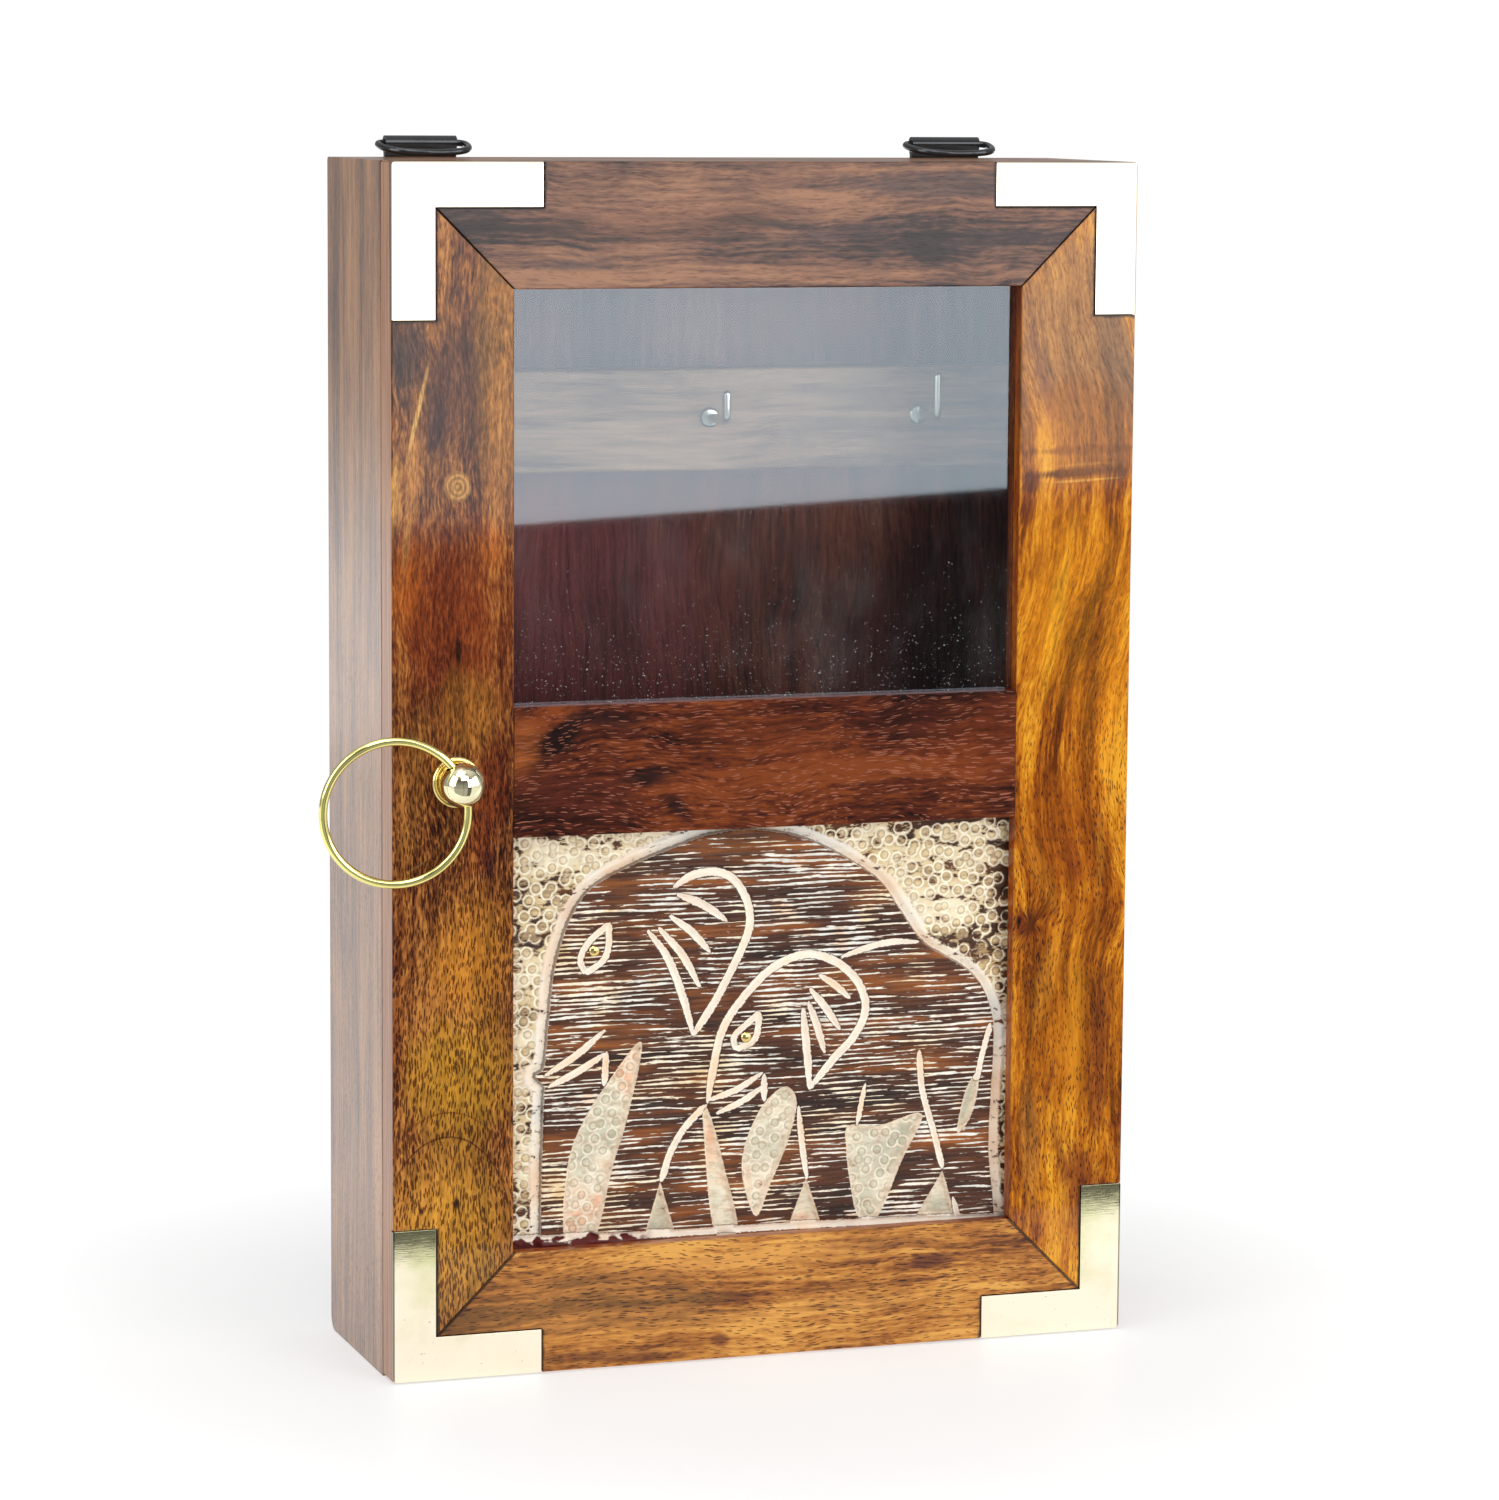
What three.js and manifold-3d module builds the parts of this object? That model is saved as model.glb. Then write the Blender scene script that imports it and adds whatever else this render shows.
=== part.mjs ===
// A wall-hung key cabinet: a shallow wooden case with a row of key hooks, closed by a
// mitred door that holds a pane of glass above a carved panel. Brass plates are let into
// the door's corners, and a ring through a swivelling ball pulls it open.
//
// Millimetres, +Z up, the front faces -Y. The origin is the centre of the closed
// cabinet's underside.
import * as THREE from 'three';
import { mergeVertices } from 'three/addons/utils/BufferGeometryUtils.js';
import Module from 'manifold-3d';

const wasm = await Module();
wasm.setup();

// Driving dimensions: the cabinet.
const WIDTH = 200;
const HEIGHT = 310;
const DEPTH = 64;
const BOARD = 10;
const BACK_PANEL = 5;
const BACK_EDGE_RADIUS = 4;
const TOP_EDGE_RADIUS = 1;
const BACK_REBATE = 6.5;
const FIT_GAP = 0.2;
const SEAT_GAP = 0.05;
// How far a cutting shape runs on past the surface it opens.
const OVERCUT = 1;

// Driving dimensions: the door.
const DOOR_THICKNESS = 10;
const DOOR_GAP = 0.5;
const DOOR_LIFT = 0.5;
const MEMBER = 31.8;
const MID_RAIL_LOW = 139.7;
const MID_RAIL_HIGH = 173;
const LIP = 4.3;
const REBATE = 5;
const GLUE_LINE = 0.1;
const GLASS = 2;
const BEAD_WIDTH = 4.2;
const BEAD_THICKNESS = 2.8;
const CARVED_PANEL = 4.8;

// Driving dimensions: brass corner plates.
const CORNER_ARM = 39.3;
const CORNER_WIDTH = 11.3;
const CORNER_THICKNESS = 1.6;
const CORNER_RADIUS = 1.1;

// Driving dimensions: the hinges.
const HINGE_HEIGHTS = { lower: 60, upper: 250 };
const HINGE_LENGTH = 32;
const LEAF_WIDTH = 8.5;
const LEAF_THICKNESS = 1;
const LEAF_OFFSET = 0.2;
const BARREL_RADIUS = 1.9;
const BARREL_STAND_OFF = 0.2;
const PIN_RADIUS = 1;
const PIN_CLEARANCE = 0.08;
const PIN_HEAD_RADIUS = 1.5;
const PIN_HEAD_CROWN = 1.1;
const PIN_HEAD_HEIGHT = 0.7;
const MIDDLE_KNUCKLE = 10.6;
const KNUCKLE_GAP = 0.2;
const KNUCKLE_CLEARANCE = 0.25;
const LEAF_RECESS_GAP = 0.15;
const LEAF_SCREW_SPACING = 20.5;

// Driving dimensions: the ring pull.
const KNOB_X = -83.6;
const KNOB_Z = 154.75;
const BALL_RADIUS = 5.7;
const BALL_STAND_OFF = 7.2;
const NECK_RADIUS = 3;
const ROSETTE_RADIUS = 6.5;
const ROSETTE_THICKNESS = 2.2;
const ROSETTE_DISH = 1.3;
const STUD_RADIUS = 2;
const STUD_CLEARANCE = 0.3;
const STUD_PROJECTION = 4.6;
const WASHER_RADIUS = 4.5;
const WASHER_THICKNESS = 0.7;
const NUT_RADIUS = 4;
const NUT_THICKNESS = 3;
const NUT_CLEARANCE = 0.15;
const RING_RADIUS = 18.3;
const RING_WIRE = 1.05;
const RING_END_ANGLE = THREE.MathUtils.degToRad(15);
const RING_SWIVEL = THREE.MathUtils.degToRad(68);
const RING_LEAN = THREE.MathUtils.degToRad(8.5);
const CROSS_HOLE_RADIUS = 1.62;

// Driving dimensions: the key rail and its hooks.
const RAIL_LOW = 228;
const RAIL_HIGH = 255;
const RAIL_THICKNESS = 9;
const HOOK_HEIGHT = 242;
const HOOKS = [
  { name: 'key_hook_left', x: -59, tipRise: 8.5 },
  { name: 'key_hook_middle', x: 0, tipRise: 6.8 },
  { name: 'key_hook_right', x: 59, tipRise: 10.8 },
];
const HOOK_REACH = 14;
const HOOK_WIRE = 1.25;
const HOOK_BEND = 3.2;
const HOOK_COLLAR_RADIUS = 2.8;
const HOOK_COLLAR = 1.1;
const HOOK_COLLAR_NECK = 1.9;
const HOOK_COLLAR_RIM = 0.45;
const HOOK_SHANK = 7;
const HOOK_POINT = 2;

// Driving dimensions: the wall hangers.
const HANGERS = [
  { name: 'hanger_left', x: -75 },
  { name: 'hanger_right', x: 71 },
];
const STRAP_WIDTH = 19.2;
const STRAP_SHEET = 0.8;
const STRAP_DROP = 13;
const STRAP_RISE = 5.5;
const STRAP_PINCH = 0.7;
const STRAP_CREASE = 0.6;
const D_RING_WIRE = 0.9;
const D_RING_WIDTH = 25.4;
const D_RING_DEPTH = 14.4;
const D_RING_CORNER = 3;
const D_RING_JOINT = 0.3;
const D_RING_DROOP = THREE.MathUtils.degToRad(10.5);
const BAR_CLEARANCE = 0.2;
const HANGER_SCREW_SPACING = 10;
const HANGER_SCREW_DROP = 7;

// Driving dimensions: the magnetic catch.
const CATCH_HEIGHT = 118;
const CATCH_LENGTH = 30;
const CATCH_BODY_LENGTH = 17;
const CATCH_WIDTH = 11;
const CATCH_DEPTH = 13;
const CATCH_EAR = 3;
const CATCH_SETBACK = 1;
const CATCH_RIM = 1.5;
const MAGNET = 4;
const STRIKE_THICKNESS = 1;
const STRIKE_MARGIN = 1;

// Countersunk screws, all cut from one pattern.
const SCREW_HEAD_RADIUS = 2.1;
const SCREW_HEAD_DEPTH = 1.5;
const SCREW_SHANK_RADIUS = 1.1;
const SCREW_POINT = 1.6;
const SCREW_HEAD_EDGE = 0.3;
const SCREW_SLOT_WIDTH = 0.6;
const SCREW_SLOT_DEPTH = 0.6;
const SCREW_HOLE_GAP = 0.15;
const SCREW_SIDES = 12;
const SHORT_SCREW = 7;
const LONG_SCREW = 12;

// Places that follow from the driving dimensions.
const HALF_WIDTH = WIDTH / 2;
const FRONT = -DEPTH / 2;
const BACK = DEPTH / 2;
const DOOR_BACK = FRONT + DOOR_THICKNESS;
const CASE_FRONT = DOOR_BACK + DOOR_GAP;
const PANEL_FRONT = BACK - BACK_PANEL;
const INNER = HALF_WIDTH - BOARD;
const OPENING = HALF_WIDTH - MEMBER;
const OPENING_LOW = DOOR_LIFT + MEMBER;
const OPENING_HIGH = HEIGHT - MEMBER;
const LIP_BACK = FRONT + LIP;
const HINGE_X = HALF_WIDTH + BARREL_STAND_OFF + BARREL_RADIUS;
const HINGE_Y = (DOOR_BACK + CASE_FRONT) / 2;
const BALL_Y = FRONT - BALL_STAND_OFF;
const RAIL_FRONT = PANEL_FRONT - RAIL_THICKNESS;

const X_AXIS = new THREE.Vector3(1, 0, 0);
const Y_AXIS = new THREE.Vector3(0, 1, 0);
const TO_FRONT = new THREE.Vector3(0, -1, 0);

const materials = {
  doorWood: { color: 0x6e3a20, roughness: 0.35, metalness: 0 },
  caseWood: { color: 0x7a4526, roughness: 0.4, metalness: 0 },
  backWood: { color: 0x6b3a26, roughness: 0.6, metalness: 0 },
  railWood: { color: 0x9a6a44, roughness: 0.5, metalness: 0 },
  carvedWood: { color: 0xcdb99a, roughness: 0.7, metalness: 0 },
  glass: { color: 0xdfe8ea, roughness: 0.03, metalness: 0 },
  brass: { color: 0xc9a648, roughness: 0.25, metalness: 1 },
  nickel: { color: 0xb9b7a8, roughness: 0.3, metalness: 1 },
  blackSteel: { color: 0x1d1f20, roughness: 0.45, metalness: 0.8 },
  zincSteel: { color: 0x9b9ea1, roughness: 0.35, metalness: 1 },
  whitePlastic: { color: 0xe6e3da, roughness: 0.5, metalness: 0 },
};

// ---- Solids ----

function toManifold(geometry) {
  const bare = geometry.clone();
  bare.deleteAttribute('normal');
  bare.deleteAttribute('uv');
  const merged = mergeVertices(bare, 1e-4);
  return new wasm.Manifold(new wasm.Mesh({
    numProp: 3,
    vertProperties: new Float32Array(merged.attributes.position.array),
    triVerts: new Uint32Array(merged.index.array),
  }));
}

function toGeometry(manifold) {
  const mesh = manifold.getMesh();
  const geometry = new THREE.BufferGeometry();
  geometry.setAttribute('position', new THREE.BufferAttribute(mesh.vertProperties, 3));
  geometry.setIndex(new THREE.BufferAttribute(mesh.triVerts, 1));
  geometry.computeVertexNormals();
  return geometry;
}

function cut(geometry, cutters) {
  let body = toManifold(geometry);
  for (const cutter of cutters) {
    body = body.subtract(toManifold(cutter));
  }
  return toGeometry(body);
}

function join(geometries) {
  let body = toManifold(geometries[0]);
  for (const next of geometries.slice(1)) {
    body = body.add(toManifold(next));
  }
  return toGeometry(body);
}

// A box from its [low, high] ranges along X, Y and Z.
function block(x, y, z) {
  const geometry = new THREE.BoxGeometry(x[1] - x[0], y[1] - y[0], z[1] - z[0]);
  geometry.translate((x[0] + x[1]) / 2, (y[0] + y[1]) / 2, (z[0] + z[1]) / 2);
  return geometry;
}

function polygon(points) {
  return new THREE.Shape(points.map(([a, b]) => new THREE.Vector2(a, b)));
}

function disc(radius, sides) {
  const points = [];
  for (let i = 0; i < sides; i++) {
    const angle = (i / sides) * 2 * Math.PI;
    points.push([radius * Math.cos(angle), radius * Math.sin(angle)]);
  }
  return polygon(points);
}

// An outline drawn in X and Z, given thickness from y[0] to y[1].
function slabAlongY(shape, y) {
  const depth = y[1] - y[0];
  const geometry = new THREE.ExtrudeGeometry(shape, { depth, bevelEnabled: false, curveSegments: 6 });
  geometry.rotateX(Math.PI / 2);
  geometry.translate(0, y[1], 0);
  return geometry;
}

// An outline drawn in Y and Z, given length from x[0] to x[1].
function slabAlongX(shape, x) {
  const depth = x[1] - x[0];
  const geometry = new THREE.ExtrudeGeometry(shape, { depth, bevelEnabled: false, curveSegments: 6 });
  geometry.rotateX(Math.PI / 2);
  geometry.rotateZ(Math.PI / 2);
  geometry.translate(x[0], 0, 0);
  return geometry;
}

// A wire of round section along a path.
function wire(path, radius, steps, sides) {
  return new THREE.ExtrudeGeometry(disc(radius, sides), { steps, extrudePath: path, bevelEnabled: false });
}

// A solid of revolution about Y from [radius, y] pairs, given from the lowest to the highest.
function turned(profile, segments) {
  return new THREE.LatheGeometry(profile.map(([r, y]) => new THREE.Vector2(r, y)), segments);
}

function cylinderAlong(axis, radius, length, sides) {
  const geometry = new THREE.CylinderGeometry(radius, radius, length, sides);
  geometry.applyQuaternion(new THREE.Quaternion().setFromUnitVectors(Y_AXIS, axis));
  return geometry;
}

function moved(geometry, x, y, z) {
  return geometry.clone().translate(x, y, z);
}

function part(name, geometry, material) {
  const mesh = new THREE.Mesh(geometry, new THREE.MeshStandardMaterial(materials[material]));
  mesh.name = name;
  return mesh;
}

// ---- Screws ----

function screwProfile(length, gap) {
  const head = SCREW_HEAD_RADIUS + gap;
  const shank = SCREW_SHANK_RADIUS + gap;
  return [
    [0, -length - gap],
    [shank, -length + SCREW_POINT],
    [shank, -SCREW_HEAD_DEPTH - gap],
    [head, -SCREW_HEAD_EDGE],
    [head, gap],
    [0, gap],
  ];
}

// Turns a shape made about +Y so that +Y points along facing, and moves it to at.
function aim(geometry, at, facing) {
  const aimed = geometry.clone();
  aimed.applyQuaternion(new THREE.Quaternion().setFromUnitVectors(Y_AXIS, facing));
  aimed.translate(at.x, at.y, at.z);
  return aimed;
}

function screwHole({ at, facing, length }) {
  return aim(turned(screwProfile(length, SCREW_HOLE_GAP), SCREW_SIDES), at, facing);
}

function screw({ name, at, facing, length, material }) {
  const reach = SCREW_HEAD_RADIUS + OVERCUT;
  const halfWidth = SCREW_SLOT_WIDTH / 2;
  const slot = block([-reach, reach], [-SCREW_SLOT_DEPTH, OVERCUT], [-halfWidth, halfWidth]);
  const mesh = part(name, cut(turned(screwProfile(length, 0), SCREW_SIDES), [slot]), material);
  mesh.position.copy(at);
  mesh.quaternion.setFromUnitVectors(Y_AXIS, facing);
  return mesh;
}

// Every screw in the cabinet. The wood and the fittings they pass through are cut for them.
function hingeScrews(side) {
  const isCase = side === 'case';
  const screws = [];
  for (const [place, height] of Object.entries(HINGE_HEIGHTS)) {
    for (const [end, sign] of [['bottom', -1], ['top', 1]]) {
      screws.push({
        name: `hinge_${place}_${side}_screw_${end}`,
        at: new THREE.Vector3(
          HALF_WIDTH - LEAF_WIDTH / 2,
          HINGE_Y + (isCase ? LEAF_OFFSET : -LEAF_OFFSET),
          height + (sign * LEAF_SCREW_SPACING) / 2,
        ),
        facing: isCase ? TO_FRONT : Y_AXIS,
        length: SHORT_SCREW,
        material: 'brass',
      });
    }
  }
  return screws;
}

function hangerScrews() {
  const screws = [];
  for (const hanger of HANGERS) {
    for (const [side, sign] of [['left', -1], ['right', 1]]) {
      screws.push({
        name: `${hanger.name}_screw_${side}`,
        at: new THREE.Vector3(
          hanger.x + (sign * HANGER_SCREW_SPACING) / 2,
          BACK + 2 * STRAP_SHEET,
          HEIGHT - HANGER_SCREW_DROP,
        ),
        facing: Y_AXIS,
        length: LONG_SCREW,
        material: 'blackSteel',
      });
    }
  }
  return screws;
}

function catchScrews() {
  const offset = (CATCH_LENGTH + CATCH_BODY_LENGTH) / 4;
  return [['bottom', -offset], ['top', offset]].map(([end, rise]) => ({
    name: `catch_screw_${end}`,
    at: new THREE.Vector3(
      -INNER + CATCH_EAR,
      CASE_FRONT + CATCH_SETBACK + CATCH_DEPTH / 2,
      CATCH_HEIGHT + rise,
    ),
    facing: X_AXIS,
    length: SHORT_SCREW,
    material: 'zincSteel',
  }));
}

const strikeScrew = {
  name: 'strike_screw',
  at: new THREE.Vector3(-INNER + CATCH_WIDTH / 2, DOOR_BACK + STRIKE_THICKNESS, CATCH_HEIGHT),
  facing: Y_AXIS,
  length: SHORT_SCREW,
  material: 'zincSteel',
};

const caseHingeScrews = hingeScrews('case');
const doorHingeScrews = hingeScrews('door');

// ---- The case ----

// Where a hinge leaf is let into the wood, on the case's front edge or the door's back.
function leafRecesses(side) {
  const y = side === 'case'
    ? [CASE_FRONT - OVERCUT, HINGE_Y + LEAF_OFFSET + LEAF_THICKNESS + GLUE_LINE]
    : [HINGE_Y - LEAF_OFFSET - LEAF_THICKNESS - GLUE_LINE, DOOR_BACK + OVERCUT];
  const half = HINGE_LENGTH / 2 + LEAF_RECESS_GAP;
  const x = [HALF_WIDTH - LEAF_WIDTH - LEAF_RECESS_GAP, HALF_WIDTH + OVERCUT];
  return Object.values(HINGE_HEIGHTS).map((height) => block(x, y, [height - half, height + half]));
}

// The section of a side board seen from its side: its lower back corner is rounded.
function sideOutline() {
  const shape = new THREE.Shape();
  shape.moveTo(CASE_FRONT, 0);
  shape.lineTo(BACK - BACK_EDGE_RADIUS, 0);
  shape.absarc(BACK - BACK_EDGE_RADIUS, BACK_EDGE_RADIUS, BACK_EDGE_RADIUS, -Math.PI / 2, 0, false);
  shape.lineTo(BACK, HEIGHT - TOP_EDGE_RADIUS);
  shape.absarc(BACK - TOP_EDGE_RADIUS, HEIGHT - TOP_EDGE_RADIUS, TOP_EDGE_RADIUS, 0, Math.PI / 2, false);
  shape.lineTo(CASE_FRONT, HEIGHT);
  return shape;
}

// The case's outline, kept between two heights: the end boards share the sides' back edges.
function endBoard(z) {
  const length = [-INNER + GLUE_LINE, INNER - GLUE_LINE];
  const whole = slabAlongX(sideOutline(), length);
  const wide = [-WIDTH, WIDTH];
  const deep = [-DEPTH, DEPTH];
  return cut(whole, [
    block(wide, deep, [-OVERCUT, z[0]]),
    block(wide, deep, [z[1], HEIGHT + OVERCUT]),
  ]);
}

const panelRebate = block(
  [-INNER - BACK_REBATE, INNER + BACK_REBATE],
  [PANEL_FRONT - FIT_GAP, BACK + OVERCUT],
  [BOARD - BACK_REBATE, HEIGHT - BOARD + BACK_REBATE],
);

function buildCase() {
  const group = new THREE.Group();
  const leftBoard = slabAlongX(sideOutline(), [-HALF_WIDTH, -INNER]);
  const rightBoard = slabAlongX(sideOutline(), [INNER, HALF_WIDTH]);
  group.add(part(
    'case_left_side',
    cut(leftBoard, [panelRebate, ...catchScrews().map(screwHole)]),
    'caseWood',
  ));
  group.add(part(
    'case_right_side',
    cut(rightBoard, [panelRebate, ...leafRecesses('case'), ...caseHingeScrews.map(screwHole)]),
    'caseWood',
  ));
  group.add(part(
    'case_top',
    cut(endBoard([HEIGHT - BOARD, HEIGHT]), [panelRebate, ...hangerScrews().map(screwHole)]),
    'caseWood',
  ));
  group.add(part('case_bottom', cut(endBoard([0, BOARD]), [panelRebate]), 'caseWood'));
  const reach = INNER + BACK_REBATE - FIT_GAP;
  const margin = BOARD - BACK_REBATE + FIT_GAP;
  const backPanel = block([-reach, reach], [PANEL_FRONT, BACK], [margin, HEIGHT - margin]);
  group.add(part('back_panel', cut(backPanel, hangerScrews().map(screwHole)), 'backWood'));
  return group;
}

// ---- The key rail and its hooks ----

// A hook's wire: out from the collar, round a bend and up to the tip.
function hookPath(tipRise) {
  const path = new THREE.CurvePath();
  const elbow = -HOOK_REACH + HOOK_BEND;
  path.add(new THREE.LineCurve3(
    new THREE.Vector3(0, -HOOK_COLLAR / 2, 0),
    new THREE.Vector3(0, elbow, 0),
  ));
  path.add(new THREE.QuadraticBezierCurve3(
    new THREE.Vector3(0, elbow, 0),
    new THREE.Vector3(0, -HOOK_REACH, 0),
    new THREE.Vector3(0, -HOOK_REACH, HOOK_BEND),
  ));
  path.add(new THREE.LineCurve3(
    new THREE.Vector3(0, -HOOK_REACH, HOOK_BEND),
    new THREE.Vector3(0, -HOOK_REACH, tipRise),
  ));
  return path;
}

function hookGeometry(tipRise) {
  const tip = new THREE.SphereGeometry(HOOK_WIRE, 8, 6);
  const collar = turned([
    [0, -HOOK_COLLAR],
    [HOOK_COLLAR_NECK, -HOOK_COLLAR],
    [HOOK_COLLAR_RADIUS, -HOOK_COLLAR_RIM],
    [HOOK_COLLAR_RADIUS, -SEAT_GAP],
    [0, -SEAT_GAP],
  ], 12);
  const shank = turned([
    [0, -HOOK_COLLAR / 2],
    [SCREW_SHANK_RADIUS, -HOOK_COLLAR / 2],
    [SCREW_SHANK_RADIUS, HOOK_SHANK - HOOK_POINT],
    [0, HOOK_SHANK],
  ], 8);
  return join([
    wire(hookPath(tipRise), HOOK_WIRE, 16, 8),
    moved(tip, 0, -HOOK_REACH, tipRise),
    collar,
    shank,
  ]);
}

function buildKeyRail() {
  const group = new THREE.Group();
  const length = [-INNER + FIT_GAP, INNER - FIT_GAP];
  const rail = block(length, [RAIL_FRONT, PANEL_FRONT - SEAT_GAP], [RAIL_LOW, RAIL_HIGH]);
  const shankHole = cylinderAlong(Y_AXIS, SCREW_SHANK_RADIUS + FIT_GAP, HOOK_SHANK + OVERCUT, 12);
  const holes = HOOKS.map(({ x }) => moved(shankHole, x, RAIL_FRONT + HOOK_SHANK / 2, HOOK_HEIGHT));
  group.add(part('key_rail', cut(rail, holes), 'railWood'));
  for (const { name, x, tipRise } of HOOKS) {
    const hook = part(name, hookGeometry(tipRise), 'nickel');
    hook.position.set(x, RAIL_FRONT, HOOK_HEIGHT);
    group.add(hook);
  }
  return group;
}

// ---- The door's frame ----

const cornerSigns = [
  { name: 'top_left', x: -1, top: true },
  { name: 'top_right', x: 1, top: true },
  { name: 'bottom_left', x: -1, top: false },
  { name: 'bottom_right', x: 1, top: false },
];

// An L-shaped plate in one corner of the door, grown by a margin at its inner edges for
// the recess it lies in.
function cornerShape(corner, margin) {
  const arm = CORNER_ARM + margin;
  const wide = CORNER_WIDTH + margin;
  const outer = margin > 0 ? -OVERCUT : 0;
  const edge = corner.top ? HEIGHT : DOOR_LIFT;
  const place = (across, inward) => [
    corner.x * (HALF_WIDTH - across),
    corner.top ? edge - inward : edge + inward,
  ];
  const outline = [[arm, outer], [arm, wide], [wide, wide], [wide, arm], [outer, arm]];
  if (margin > 0) {
    outline.push([outer, outer]);
  } else {
    const steps = 4;
    for (let i = 0; i <= steps; i++) {
      const angle = Math.PI + (i / steps) * (Math.PI / 2);
      outline.push([
        CORNER_RADIUS + CORNER_RADIUS * Math.cos(angle),
        CORNER_RADIUS + CORNER_RADIUS * Math.sin(angle),
      ]);
    }
  }
  return polygon(outline.map(([across, inward]) => place(across, inward)));
}

function cornerRecesses() {
  return cornerSigns.map((corner) => slabAlongY(
    cornerShape(corner, FIT_GAP),
    [FRONT - OVERCUT, FRONT + CORNER_THICKNESS + GLUE_LINE],
  ));
}

// The glass and the carved panel lie in rebates behind the frame's front lip.
function glazingRebate(low, high) {
  return block(
    [-OPENING - REBATE, OPENING + REBATE],
    [LIP_BACK, DOOR_BACK + OVERCUT],
    [low - REBATE, high + REBATE],
  );
}

const frameRebate = glazingRebate(OPENING_LOW, OPENING_HIGH);

// An upright of the mitred frame; side is -1 at the left and 1 at the right.
function stileOutline(side) {
  const outer = side * HALF_WIDTH;
  const inner = side * OPENING;
  return polygon([
    [outer, DOOR_LIFT + GLUE_LINE],
    [inner, OPENING_LOW + GLUE_LINE],
    [inner, OPENING_HIGH - GLUE_LINE],
    [outer, HEIGHT - GLUE_LINE],
  ]);
}

// A crosspiece of the mitred frame, between its outer and inner edge heights.
function railOutline(outer, inner) {
  return polygon([
    [-HALF_WIDTH + GLUE_LINE, outer],
    [HALF_WIDTH - GLUE_LINE, outer],
    [OPENING - GLUE_LINE, inner],
    [-OPENING + GLUE_LINE, inner],
  ]);
}

function midRail() {
  const reach = OPENING + REBATE - FIT_GAP;
  const whole = block([-reach, reach], [FRONT, DOOR_BACK], [MID_RAIL_LOW, MID_RAIL_HIGH]);
  const front = [FRONT - OVERCUT, LIP_BACK + FIT_GAP];
  const back = [LIP_BACK, DOOR_BACK + OVERCUT];
  const wide = [-WIDTH, WIDTH];
  return cut(whole, [
    block([-WIDTH, -OPENING + GLUE_LINE], front, [0, HEIGHT]),
    block([OPENING - GLUE_LINE, WIDTH], front, [0, HEIGHT]),
    block(wide, back, [MID_RAIL_HIGH - REBATE, HEIGHT]),
    block(wide, back, [0, MID_RAIL_LOW + REBATE]),
  ]);
}

function buildDoorFrame() {
  const group = new THREE.Group();
  const thickness = [FRONT, DOOR_BACK];
  const shared = [frameRebate, ...cornerRecesses()];
  const studHole = moved(
    cylinderAlong(Y_AXIS, STUD_RADIUS + STUD_CLEARANCE, DOOR_THICKNESS + 2 * OVERCUT, 16),
    KNOB_X, (FRONT + DOOR_BACK) / 2, KNOB_Z,
  );
  group.add(part(
    'door_left_stile',
    cut(slabAlongY(stileOutline(-1), thickness), [...shared, studHole, screwHole(strikeScrew)]),
    'doorWood',
  ));
  group.add(part(
    'door_right_stile',
    cut(slabAlongY(stileOutline(1), thickness), [
      ...shared, ...leafRecesses('door'), ...doorHingeScrews.map(screwHole),
    ]),
    'doorWood',
  ));
  const topRail = slabAlongY(railOutline(HEIGHT, OPENING_HIGH), thickness);
  const bottomRail = slabAlongY(railOutline(DOOR_LIFT, OPENING_LOW), thickness);
  group.add(part('door_top_rail', cut(topRail, shared), 'doorWood'));
  group.add(part('door_bottom_rail', cut(bottomRail, shared), 'doorWood'));
  group.add(part('door_mid_rail', midRail(), 'doorWood'));
  return group;
}

function buildCornerPlates() {
  const group = new THREE.Group();
  for (const corner of cornerSigns) {
    const plate = slabAlongY(cornerShape(corner, 0), [FRONT, FRONT + CORNER_THICKNESS]);
    group.add(part(`corner_plate_${corner.name}`, plate, 'brass'));
  }
  return group;
}

// ---- The glass, its beads and the carved panel ----

const EYE_NAILS = [
  { name: 'eye_nail_large', x: -45.5, z: 108.9 },
  { name: 'eye_nail_small', x: -4.2, z: 84.2 },
];
const NAIL_HEAD_RADIUS = 1.4;
const NAIL_HEAD_HEIGHT = 0.9;
const NAIL_RADIUS = 0.5;
const NAIL_LENGTH = 2.7;
const NAIL_HOLE_RADIUS = 0.7;

function buildGlazing() {
  const group = new THREE.Group();
  const reach = OPENING + REBATE - FIT_GAP;
  const low = MID_RAIL_HIGH - REBATE + FIT_GAP;
  const high = OPENING_HIGH + REBATE - FIT_GAP;
  const glassFront = LIP_BACK + FIT_GAP;
  const glassBack = glassFront + GLASS;
  group.add(part('glass_pane', block([-reach, reach], [glassFront, glassBack], [low, high]), 'glass'));

  const beadY = [glassBack + FIT_GAP, glassBack + FIT_GAP + BEAD_THICKNESS];
  const inner = reach - BEAD_WIDTH;
  const lying = [-inner + GLUE_LINE, inner - GLUE_LINE];
  group.add(part('glass_bead_left', block([-reach, -inner], beadY, [low, high]), 'backWood'));
  group.add(part('glass_bead_right', block([inner, reach], beadY, [low, high]), 'backWood'));
  group.add(part('glass_bead_bottom', block(lying, beadY, [low, low + BEAD_WIDTH]), 'backWood'));
  group.add(part('glass_bead_top', block(lying, beadY, [high - BEAD_WIDTH, high]), 'backWood'));
  return group;
}

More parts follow.
